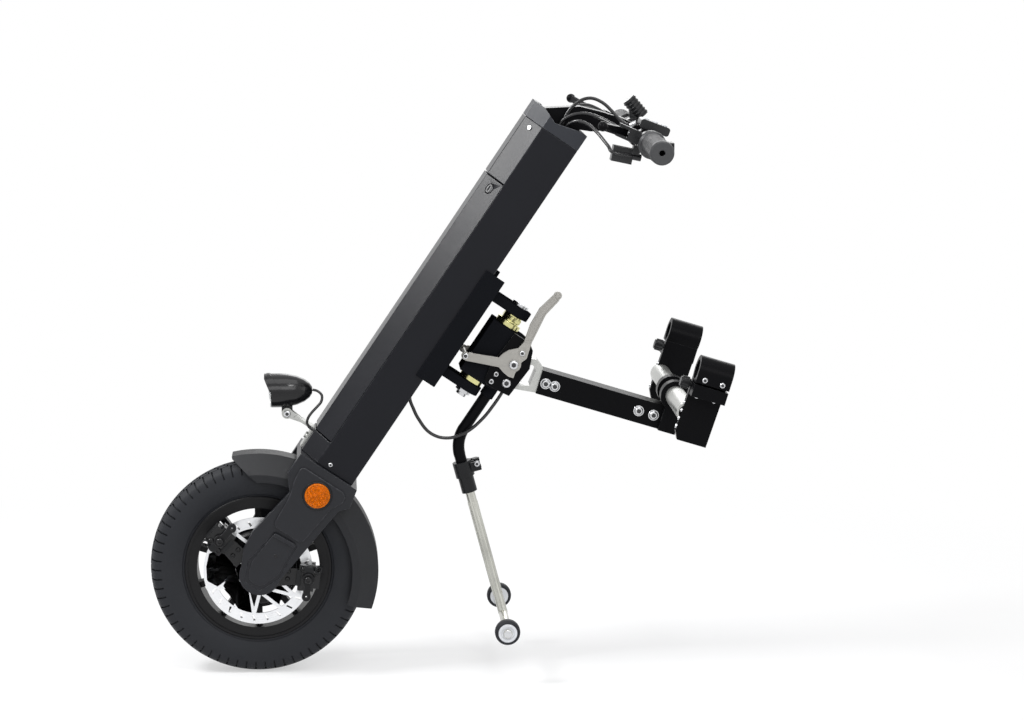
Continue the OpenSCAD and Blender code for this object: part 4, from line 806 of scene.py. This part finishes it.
# Routes as in the CAD source, in millimetres from the floor below the axle
CONTROL_ROUTES = {
    "throttle_cable": [(441, -22, 798.5), (446, -22, 808), (451, -22, 820), (460, -23, 834), (475, -26, 846),
        (490, -31, 849), (505, -38, 843), (517, -46, 832), (527, -54, 821), (536, -59, 814), (544, -63, 813),
        (551.4, -66, 816.4)],
    "left_brake_cable": [(436, -36, 802), (442, -36, 811), (450, -37, 820), (465, -42, 827), (482, -50, 828),
        (499, -62, 823), (512, -77, 817), (523, -90, 811), (531.5, -99.5, 807), (538.5, -106.6, 804.5)],
    "right_brake_cable": [(446, 26, 795.2), (450, 26, 806), (457, 27, 819), (470, 32, 831), (488, 46, 834),
        (506, 64, 827), (520, 82, 818), (529, 95, 810), (536, 101.5, 805), (543.2, 106.7, 801.2)],
    "brake_switch_cable": [(444.4, -39, 796.5), (449, -40, 805), (456, -43, 813), (467, -51, 818),
        (481, -61, 814), (493, -73, 804), (502, -86, 793), (508, -97, 785), (510.5, -105, 779.5),
        (519, -107.5, 776), (530, -107, 774), (541, -106, 772.2)],
}
LAMP_ROUTE = [(82.5, 0, 421), (90, -1, 419), (96, -3, 413), (95, -6, 404), (88, -9, 396), (81, -12, 389),
    (76, -14, 382), (74, -15, 375), (77, -15, 368), (82.8, -15, 363.7)]
DOCK_ROUTE = [(224.6, -15, 411.5), (226, -15, 404), (230, -15, 394), (236, -15, 381), (249, -15, 362),
    (264, -15, 352), (280, -14, 349), (296, -14, 352), (315, -14, 362), (334, -12, 379), (348, -9, 396),
    (358, -7, 410), (365, -6, 421.5)]


class DRIVE_OT_cables(bpy.types.Operator):
    """Control cables on the column, the headlight's lead and the dock's lead"""
    bl_idname = "drive.cables"
    bl_label = "Cables"

    def execute(self, context):
        sizes = context.scene.drive_sizes
        for name, route in CONTROL_ROUTES.items():
            obj = self.cable(name, route, sizes.cable)
            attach(obj, "column")
            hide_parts("control_cables")
        lead = self.cable("headlight_lead", LAMP_ROUTE, sizes.lamp_cable)
        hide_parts("headlight_cable")
        ends = axle_points([LAMP_ROUTE[0], LAMP_ROUTE[-1]])
        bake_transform(lead, "headlight", "column", start=ends[0], end=ends[1])
        lead = self.cable("dock_lead", DOCK_ROUTE, sizes.cable)
        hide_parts("dock_cable")
        ends = axle_points([DOCK_ROUTE[0], DOCK_ROUTE[-1]])
        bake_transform(lead, "column", "dock", start=ends[0], end=ends[1])
        return {"FINISHED"}

    def cable(self, name, route, diameter):
        line = smooth_line(axle_points(route))
        mesh = cable_mesh(name, line, diameter)
        obj = add_object(name, mesh)
        mesh.materials.append(named_finish("cable_black"))
        mesh.shade_smooth()
        return obj


class DRIVE_OT_tyre(bpy.types.Operator):
    """Tyre: a turned carcass, with grooves and slits cut between rows of tread blocks"""
    bl_idname = "drive.tyre"
    bl_label = "Tyre"

    # Half of the section from bead to crown: radius, and distance from the middle plane
    SECTION = [(103.2, 20.2), (106, 21.6), (108.5, 23.6), (110.5, 24.0), (112, 25.6), (115, 26.4),
        (121, 27.6), (127, 28.3), (133, 28.35), (138, 27.9), (142, 27.4), (145.5, 26.8), (148, 26.1),
        (150.4, 25.0), (152.6, 23.4), (154.4, 21), (155.8, 18.2), (157, 15.2), (157.4, 13.9), (157.7, 12.4),
        (158.4, 6.2), (158.5, 4.6)]
    CROWN, SHOULDER, CARCASS = 156, 143.5, 124  # radii: start of grooves, start of slits, carcass's middle
    INNER_GROOVE, OUTER_GROOVE = (4.6, 6.2), (12.4, 13.9)  # distances from the middle plane
    RIB_HALF = 4  # half width of the middle rib
    BLOCK_STEPS = 6  # steps of the turned section for each tread block
    SLIT_STEP, ROW_STEP, RIB_STEP, FAR_SHIFT = 0, 2, 4, 3  # the step of each cut, and the far side's offset

    def execute(self, context):
        sizes = context.scene.drive_sizes
        half = self.SECTION + [(half_size("tyre").z, 3.2)]
        steps = sizes.tread_blocks * self.BLOCK_STEPS
        bm = lathe(half + [(r, -y) for r, y in reversed(half)], steps, closed=True)
        cut = [face for face in bm.faces if self.is_cut(face.calc_center_median(), steps)]
        made = bmesh.ops.extrude_face_region(bm, geom=cut)
        bmesh.ops.delete(bm, geom=[face for face in cut if face.is_valid], context="FACES")
        for v in made["geom"]:
            if isinstance(v, bmesh.types.BMVert):
                r = math.hypot(v.co.x, v.co.z)
                deep = Vector((r - self.CARCASS, v.co.y)).normalized() * (sizes.tread_depth / MM)
                scale = (r - deep.x) / r
                v.co = Vector((v.co.x * scale, v.co.y - deep.y, v.co.z * scale))
        piece("tyre_tread", AXLE, "tyre_rubber", "front_wheel", [bm], ["tyre"], smooth=30)
        return {"FINISHED"}

    def is_cut(self, c, steps):
        """Whether the face about that point lies in a groove or a slit of the tread."""
        r, y = math.hypot(c.x, c.z), abs(c.y)
        step = int((math.atan2(c.z, c.x) % math.tau) / math.tau * steps) + (self.FAR_SHIFT if c.y > 0 else 0)
        step %= self.BLOCK_STEPS
        (inner_low, inner_high), (outer_low, outer_high) = self.INNER_GROOVE, self.OUTER_GROOVE
        slit = r > self.SHOULDER and y > outer_high and step == self.SLIT_STEP
        groove = outer_low < y < outer_high or inner_low < y < inner_high
        row = inner_high < y < outer_low and step == self.ROW_STEP
        rib = y < self.RIB_HALF and step == self.RIB_STEP
        return slit or r > self.CROWN and (groove or row or rib)


class DRIVE_OT_wheel(bpy.types.Operator):
    """Cast wheel, hub motor with its covers, slotted brake disc and its bolts"""
    bl_idname = "drive.wheel"
    bl_label = "Wheel"

    VALVE = turn(200, "Y") @ shift(84, 4, 0) @ turn(90, "Z") @ shift(0, -4, 0)

    def execute(self, context):
        dress_all({"wheel_rim": 1.6, "hub_motor": 1.0, "brake_disc": 0.3})
        plain("wheel_axle")
        disc_bolts = bolt_circle(count=6, radius=28, y=-41.2, r=3.6, h=2.4, first=30, face=LEFT)
        cover_bolts = bolt_circle(count=10, radius=46, y=30, r=3, h=2)
        piece("wheel_bolts", AXLE, "bright_steel", "front_wheel", disc_bolts + cover_bolts)
        rims = [ring(104, 108.2, y - 1.4, y + 1.4, edge=1.1, steps=96) for y in (-24.4, 24.4)]
        piece("wheel_trim", AXLE, "cast_black", "front_wheel", [ring(36, 40, 30, 31.4, edge=0.6),
            ring(51.5, 53, 29.6, 30.8), *rims, drum(3.2, 0, 24, self.VALVE, edge=1)])
        return {"FINISHED"}


class DRIVE_OT_brakes(bpy.types.Operator):
    """Brake calipers with their bolts, dials and brackets, and the swinging arms"""
    bl_idname = "drive.brakes"
    bl_label = "Brakes"

    ANGLES = {"front": 171, "rear": 27}  # degrees round the axle
    RADIUS = 74

    def execute(self, context):
        dress("calipers", 1.4, slot="gloss_black")
        dress_all({"caliper_arm_front": 0.8, "caliper_arm_rear": 0.8})
        plain("brake_pads")
        for name, angle in self.ANGLES.items():
            place = COLUMN @ turn(-angle, "Y") @ shift(self.RADIUS * MM, 0, 0)
            piece(f"caliper_bolts_{name}", place, "gloss_black", "column", bolts([(-8, -58, 13.5, 4.6, 3.6),
                (9.5, -58, 9.5, 4.6, 3.6), (0, -66.6, 0, 5.6, 3.6), (-30, -50, -5.4, 3.6, 2.6),
                (-30, -50, 6, 3.6, 2.6)], LEFT))
            dial = lathe([(0, -58), (8, -58), (8, -60.5), (6.6, -61.6), (3, -61.9), (0, -61.9)], 20,
                shift(0.5, 0, 13))
            fins = [block(shift(16.8, -52 + 6.5 * k, 0), (1.6, 3.2, 25), 0.6) for k in range(4)]
            bracket = block(shift(-14, -58.6, 0), (7, 1.6, 24), 0.5)
            cable_stop = ring(3.6, 5.4, -65.2, -58.2, shift(13.6, 0, 16.5), edge=0.5, steps=20)
            piece(f"caliper_fittings_{name}", place, "black_plastic", "column",
                [dial, *fins, bracket, cable_stop])
        return {"FINISHED"}


class DRIVE_OT_fork(bpy.types.Operator):
    """Fork crown and legs with their raised panels, the mudguard and the reflectors"""
    bl_idname = "drive.fork"
    bl_label = "Fork"

    REFLECTOR = shift(8, 0, 146)
    # Prisms along each side of a square field, which is trimmed to a circle
    PRISMS, FIELD_HALF, FIELD_RADIUS, PRISM_HEIGHT = 17, 15.2, 14.6, 0.8

    def execute(self, context):
        dress_all({"fork_crown": context.scene.drive_sizes.paint_edge / MM, "fork_leg_left": 2.2,
            "fork_leg_right": 2.2})
        dress("mudguard", 1.4, smooth=30)
        upper = plate([(-33, 146), (-35, 171), (42, 171), (47, 157), (37, 142), (28.5, 73), (-22, 73),
            (-25, 122)], 61.6, 65, corner=9)
        piece("leg_panels", COLUMN, "fork_paint", "column", both_sides([upper]), edge=1.8)
        lower = plate([(-13, 66), (22, 68), (26, 14), (14, -15), (-8, -15), (-18, 9)], 60.2, 62.2, corner=8)
        lip = plate([(-13, 60), (-13, 66), (22, 68), (23, 62)], 60.4, 66, corner=2.8)
        piece("leg_lower_panels", COLUMN, "fork_paint", "column", both_sides([lower, lip]), edge=1.2)
        plug = drum(2.4, 61.0, 62.6, shift(7, 0, 37), edge=0.2, steps=20)
        piece("leg_plugs", COLUMN, "gloss_black", "column", both_sides([plug]))
        rim = lathe([(18.55, 63), (18.55, 66), (19.6, 66.6), (21.2, 66.2), (22.2, 64.6), (22.2, 62),
            (18.55, 62)], 64, self.REFLECTOR, closed=True)
        piece("reflector_rims", COLUMN, "black_plastic", "column", both_sides([rim]), ["reflector_bezels"])
        glass = lathe([(0, 62.2), (18.5, 62.2), (18.5, 66), (17.6, 67), (16.2, 67.3), (15.4, 66.8),
            (0, 66.8)], 64, self.REFLECTOR)
        prisms = self.prisms(self.REFLECTOR @ shift(0, 67.4, 0))
        piece("reflector_glass", COLUMN, "amber", "column", both_sides([glass, prisms]), ["reflector_lenses"],
            smooth=20)
        return {"FINISHED"}

    def prisms(self, place):
        """A round field of small pyramids that look along the place's Y axis."""
        bm = bmesh.new()
        bmesh.ops.create_grid(bm, x_segments=self.PRISMS, y_segments=self.PRISMS, size=self.FIELD_HALF)
        outside = [f for f in bm.faces if f.calc_center_median().length > self.FIELD_RADIUS]
        bmesh.ops.delete(bm, geom=outside, context="FACES")
        thicken(bm, (0, 0, -1))
        front = [f for f in bm.faces if f.normal.z > 0.9]
        bmesh.ops.poke(bm, faces=front, offset=self.PRISM_HEIGHT)
        bmesh.ops.transform(bm, matrix=place @ turn(-90, "X"), verts=bm.verts[:])
        return bm


class DRIVE_OT_column(bpy.types.Operator):
    """Column shell, top cap, battery with its lock, and the screws"""
    bl_idname = "drive.column"
    bl_label = "Column"

    CHAMFER = turn(45, "Z")  # the slanted faces beside the column's front

    def execute(self, context):
        dress_all({"column_shell": 1.4, "battery_case": 1.4})
        dress("column_top_cap", 1.0, look="cap_plastic")
        dress("battery_lock", 0.4, slot="rubber")
        plain("controller", "battery_cells")
        screws = bolts([(0, 54, 193, 3.5, 2.2)]) + bolts([(-31.5, 40.5, 761, 3.5, 2.2)], self.CHAMFER)
        nuts = [hex_nut(shift(0, 43.5 * side, 0) @ turn(90 - 90 * side, "X"), 11.5, 6.4) for side in (-1, 1)]
        piece("front_screws", COLUMN, "bright_steel", "column", both_sides(screws) + nuts,
            ["front_fasteners"])
        rosette = ring(7.2, 8.4, -0.4, 0.9, shift(-31.5, -40.5, 656) @ self.CHAMFER @ LEFT, steps=40)
        piece("lock_rosette", COLUMN, "column_paint", "battery", [rosette])
        return {"FINISHED"}


class DRIVE_OT_steering(bpy.types.Operator):
    """Steering bracket, bolt, head and bearing cups, and the dock's side plates"""
    bl_idname = "drive.steering"
    bl_label = "Steering"

    def execute(self, context):
        dress("steering_bracket", 1.2, look="matt_black")
        dress("steering_head", 2.0, look="matt_black")
        dress_all({"steering_bolt": 0.8, "head_bearings": 0.9, "side_plates": 1.0})
        washer = ring(13.5, 17.8, -2.4, 0, shift(107, 0, 508.2) @ UP, edge=0.8)
        nut = hex_nut(shift(107, 0, 510.4) @ UP, 16.4, 6.5, 0.8)
        piece("steering_lock_nut", COLUMN, "zinc", "dock", [washer, nut])
        rows = [(47, y, z, 4.2, 3) for z in (385, 543) for y in (-40, -16, 16, 40)]
        piece("bracket_bolts", COLUMN, "bright_steel", "column", bolts(rows, turn(-90, "Z")))
        return {"FINISHED"}


class DRIVE_OT_dock(bpy.types.Operator):
    """Latch lever, forged yoke, arm bar and the bolts of the dock"""
    bl_idname = "drive.dock"
    bl_label = "Dock"

    def execute(self, context):
        dress("latch_lever", 0.9)
        border = plate([(137, 497), (130, 523), (128, 551), (134, 580), (146, 578), (141, 548), (147, 503)],
            -37.7, -36.6, corner=3, hollow=2)
        piece("latch_border", COLUMN, "cast_grey", "latch", [border], edge=0.4)
        pins = [socket_bolt(shift(x, y, z) @ LEFT, r, 1.8, socket=0.6)
            for x, y, z, r in ((144, -38.1, 482, 4), (77, -36.5, 433, 4.6))]
        piece("latch_pins", COLUMN, "bright_steel", "latch", pins)
        dress_all({"arm_yoke": 0, "arm_bar": 1.0})
        heads = both_sides(bolts([(143, 37, 461, 7, 4), (150, 32, 432, 7, 4.2), (130, 32, 435, 4.2, 2.6),
            (130, 32, 422, 4.2, 2.6)]))
        pivot = drum(5, -36.9, 36.9, shift(143, 0, 461), edge=0.2)
        arm = []
        for x in (10, 24, 154, 177):
            arm += bolts([(x, 20, 0, 6.6, 4)]) + [ring(6.4, 8, 20, 20.8, shift(x, 0, 0), edge=0.2, steps=32)]
        arm = join(both_sides(arm))
        to_column = Matrix.Scale(1 / MM, 4) @ COLUMN.inverted() @ ARM @ Matrix.Scale(MM, 4)
        bmesh.ops.transform(arm, matrix=to_column, verts=arm.verts[:])
        piece("dock_bolt_heads", COLUMN, "bright_steel", "dock", [*heads, pivot, arm], ["dock_bolts"])
        return {"FINISHED"}


class DRIVE_OT_carrier(bpy.types.Operator):
    """Tube saddle, cross tube, frame clamps and their knobs"""
    bl_idname = "drive.carrier"
    bl_label = "Rear carrier"

    def execute(self, context):
        dress("tube_saddle", 1.0)
        plain("cross_tube")
        dress_all({"frame_clamp_left": 1.2, "frame_clamp_right": 1.2, "clamp_knob_left": 0.8,
            "clamp_knob_right": 0.8})
        heads = bolts([(189.4 + 0.02 * z, 165, z, 3.4, 2.6) for z in (16, 28, 40, 52)], turn(90, "Z"))
        for x in (203, 229):
            heads += bolts([(x, 196, 94, 4.4, 3.4), (x, 171, 66, 4, 3)])
        piece("clamp_bolts", ARM, "bright_steel", "dock", both_sides(heads))
        return {"FINISHED"}


class DRIVE_OT_stand(bpy.types.Operator):
    """Parking stand: bent tube, collar and cam lever, leg and rollers"""
    bl_idname = "drive.stand"
    bl_label = "Stand"

    # Sections of the right roller: radius, and distance from the middle plane
    ROLLER_TYRE = [(13.8, 100.4), (15.2, 100), (16.8, 101.2), (18.2, 103.4), (18.5, 106), (18.5, 112),
        (18.2, 114.6), (16.8, 116.8), (15.2, 118), (13.8, 117.6)]
    ROLLER_HUB = [(4.1, 100.4), (13.9, 100.8), (13.9, 117.2), (12.8, 118), (10, 117.6), (9.2, 116.4),
        (5.8, 116.4), (5.4, 117.6), (4.1, 117.6)]

    def execute(self, context):
        plain("stand_tube")
        dress_all({"stand_collar": 1.0, "stand_collar_lever": 1.0})
        dress("stand_leg", 0.6, look="drawn_steel")
        ribs = [block(turn(45 * k, "Z") @ shift(6.75, 0, 104), (1.4, 1.8, 148), 0.4) for k in range(8)]
        piece("leg_ribs", LEG, "bright_steel", "leg", ribs, look="drawn_steel")
        place = Matrix.Translation(LEG.to_translation())
        for name, side in (("left", -1), ("right", 1)):
            tyre = lathe(self.ROLLER_TYRE, 64, closed=True)
            hub = lathe(self.ROLLER_HUB, 48, closed=True)
            for bm in (tyre, hub):
                bmesh.ops.scale(bm, vec=(1, side, 1), verts=bm.verts[:])
            piece(f"roller_tyre_{name}", place, "tyre_rubber", f"wheel_{name}", [tyre], [f"roller_{name}"])
            piece(f"roller_hub_{name}", place, "key_white", f"wheel_{name}", [hub])
        nut = hex_nut(shift(0, 118.6, 0), 6.4, 3.2, 0.6)
        piece("roller_nuts", LEG, "bright_steel", "leg", both_sides([nut]))
        piece("collar_pin", LEG, "bright_steel", "dock", bolts([(21, -11, 232.9, 4.4, 2.6)], LEFT))
        return {"FINISHED"}


class DRIVE_OT_headlight(bpy.types.Operator):
    """Headlight: bracket, bullet body with its visor, reflector bowl, diode and lens"""
    bl_idname = "drive.headlight"
    bl_label = "Headlight"

    AXIS = shift(0, 0, 33) @ turn(-90, "Z")
    # Planes that trim the visor from a ring: a point, and the side that is kept
    VISOR_CUTS = [((-13.7, 0, 46.3), (-10.3, 0, -9.7)), ((-28, 0, 52), (24, 0, 11)), ((0, 0, 35), (0, 0, 1))]

    def execute(self, context):
        dress("headlight_bracket", 0.7)
        dress("headlight_body", 0.9, slot="gloss_black", smooth=30)
        glass = lathe([(0, -27), (8, -26.6), (13.2, -25.5), (18, -23.6), (20.9, -22), (21.9, -20),
            (21.9, -18.6), (20.6, -19.4), (19.8, -21), (17.4, -22.4), (12.9, -24.2), (7.8, -25.3),
            (0, -25.7)], 64, self.AXIS)
        piece("lamp_glass", LAMP, "lens", "headlight", [glass], ["headlight_lens"])
        bowl = lathe([(0, -11.8), (4, -11.8), (9, -12.8), (15, -15.4), (19.6, -18.2), (21.8, -18.4),
            (21.8, -11.1), (0, -11.1)], 64, self.AXIS)
        piece("lamp_bowl", LAMP, "bright_steel", "headlight", [bowl])
        piece("lamp_diode", LAMP, "key_white", "headlight", [drum(3.6, -14.4, -11.6, self.AXIS)])
        visor = ring(24.6, 25.9, -30, 2, self.AXIS, edge=0.5, steps=96)
        for point, normal in self.VISOR_CUTS:
            cut = bmesh.ops.bisect_plane(visor, geom=visor.verts[:] + visor.edges[:] + visor.faces[:],
                plane_co=point, plane_no=normal, clear_inner=True)
            rim = [e for e in cut["geom_cut"] if isinstance(e, bmesh.types.BMEdge)]
            bmesh.ops.holes_fill(visor, edges=rim, sides=0)
        piece("lamp_visor", LAMP, "gloss_black", "headlight", [visor], smooth=30)
        pivots = bolts([(0, -12, 0, 5.2, 2.6)], LEFT) + bolts([(0, 12, 0, 5.2, 2.6)])
        piece("lamp_pivot_bolts", LAMP, "bright_steel", "column", pivots)
        clip = block(shift(-23.2, 0, 11.6), (3.4, 9, 5), 0.8)
        piece("lamp_rim_clip", LAMP, "bright_steel", "headlight", [clip])
        return {"FINISHED"}


class DRIVE_OT_handlebar(bpy.types.Operator):
    """Stem, handlebar and grips"""
    bl_idname = "drive.handlebar"
    bl_label = "Handlebar"

    BORE, OUTER = 11.2, 17  # radii of the grip's sleeve
    SLEEVE, PADDED = 124, 112  # length of the sleeve, and of its part with small pads
    ROWS, ROW_STEP, PAD_GAP, PAD_DEPTH = 9, 13.2, 0.35, 0.5

    def execute(self, context):
        dress("handlebar_stem", 1.6)
        plain("handlebar")
        end = half_size("grips").y
        first, last = end - 4, end - self.SLEEVE
        wall = [(self.BORE, first), (4, first), (4, end - 0.6), (4.6, end), (14.6, end), (16.6, end - 1.2)]
        wall += [(self.OUTER, first - self.ROW_STEP * k) for k in range(self.ROWS)]
        wall += [(self.OUTER, last + 6), (19.6, last + 3.6), (20, last + 2), (19.4, last), (self.BORE, last)]
        bm = lathe(wall, 60, closed=True)
        pads = []
        for face in bm.faces:
            c = face.calc_center_median()
            if abs(math.hypot(c.x, c.z) - self.OUTER) < 0.2 and end - self.PADDED < c.y < first:
                pads.append(face)
        bmesh.ops.inset_individual(bm, faces=pads, thickness=self.PAD_GAP, depth=-self.PAD_DEPTH,
            use_even_offset=True)
        piece("grip_sleeves", BAR, "rubber", "column", both_sides([bm]), ["grips"], smooth=24)
        return {"FINISHED"}


class DRIVE_OT_controls(bpy.types.Operator):
    """Brake levers and perches, throttle, switch pod, keys, horn and the cables' end sleeves"""
    bl_idname = "drive.controls"
    bl_label = "Controls"

    HORN = shift(8, 141, 30) @ turn(-40, "Y") @ UP
    HORN_RIBS, RIB_STEP = 6, 5.4

    def execute(self, context):
        dress("control_clamps", 1.2, look="control_plastic")
        dress_all({"brake_lever_left": 1.8, "brake_lever_right": 1.8, "throttle_lever": 1.6})
        dress("switch_pod", 1.8, look="control_plastic")
        self.ferrules()
        dress_all({"pod_button_front": 0.5, "pod_button_middle": 0.5, "pod_button_rear": 0.5})
        feet = [self.RIB_STEP * k - 15.4 for k in range(self.HORN_RIBS)]
        ribs = [ring(9.4, 11, foot, foot + 3, self.HORN, edge=0.6, steps=32) for foot in feet]
        piece("horn_ribs", BAR, "black_plastic", "column", ribs)
        return {"FINISHED"}

    def ferrules(self):
        """Metal end sleeves where the control cables enter the perches and the throttle."""
        sleeves = []
        for cable in ("throttle_cable", "left_brake_cable", "right_brake_cable"):
            before, end = (point / MM for point in axle_points(CONTROL_ROUTES[cable][-2:]))
            along = Vector((0, 1, 0)).rotation_difference((before - end).normalized())
            place = Matrix.Translation(end) @ along.to_matrix().to_4x4()
            sleeves.append(drum(3.6, 0.4, 7, place, edge=0.5, steps=24))
            sleeves.append(drum(3.1, 6, 11, place, edge=0.4, steps=24))
        piece("cable_ferrules", Matrix(), "bright_steel", "column", sleeves)


OPERATORS = (DRIVE_OT_stage, DRIVE_OT_cables, DRIVE_OT_tyre, DRIVE_OT_wheel, DRIVE_OT_brakes, DRIVE_OT_fork,
    DRIVE_OT_column, DRIVE_OT_steering, DRIVE_OT_dock, DRIVE_OT_carrier, DRIVE_OT_stand, DRIVE_OT_headlight,
    DRIVE_OT_handlebar, DRIVE_OT_controls)


class DRIVE_PT_panel(bpy.types.Panel):
    """Lists the sizes, the colours and the groups of pieces"""
    bl_idname = "DRIVE_PT_panel"
    bl_label = "Front drive"
    bl_space_type = "VIEW_3D"
    bl_region_type = "UI"
    bl_category = "Drive"

    def draw(self, context):
        for group in (context.scene.drive_sizes, context.scene.drive_colours):
            box = self.layout.box()
            for key in group.bl_rna.properties.keys():
                if key not in ("rna_type", "name"):
                    box.prop(group, key)
        for kind in OPERATORS:
            self.layout.operator(kind.bl_idname)


CLASSES = (DriveColours, DriveSizes, *OPERATORS, DRIVE_PT_panel)


def register():
    for kind in CLASSES:
        bpy.utils.register_class(kind)
    bpy.types.Scene.drive_colours = bpy.props.PointerProperty(type=DriveColours)
    bpy.types.Scene.drive_sizes = bpy.props.PointerProperty(type=DriveSizes)


def unregister():
    del bpy.types.Scene.drive_sizes
    del bpy.types.Scene.drive_colours
    for kind in reversed(CLASSES):
        bpy.utils.unregister_class(kind)


def main():
    register()
    for kind in OPERATORS:
        group, call = kind.bl_idname.split(".")
        getattr(getattr(bpy.ops, group), call)()


if __name__ == "__main__":
    main()
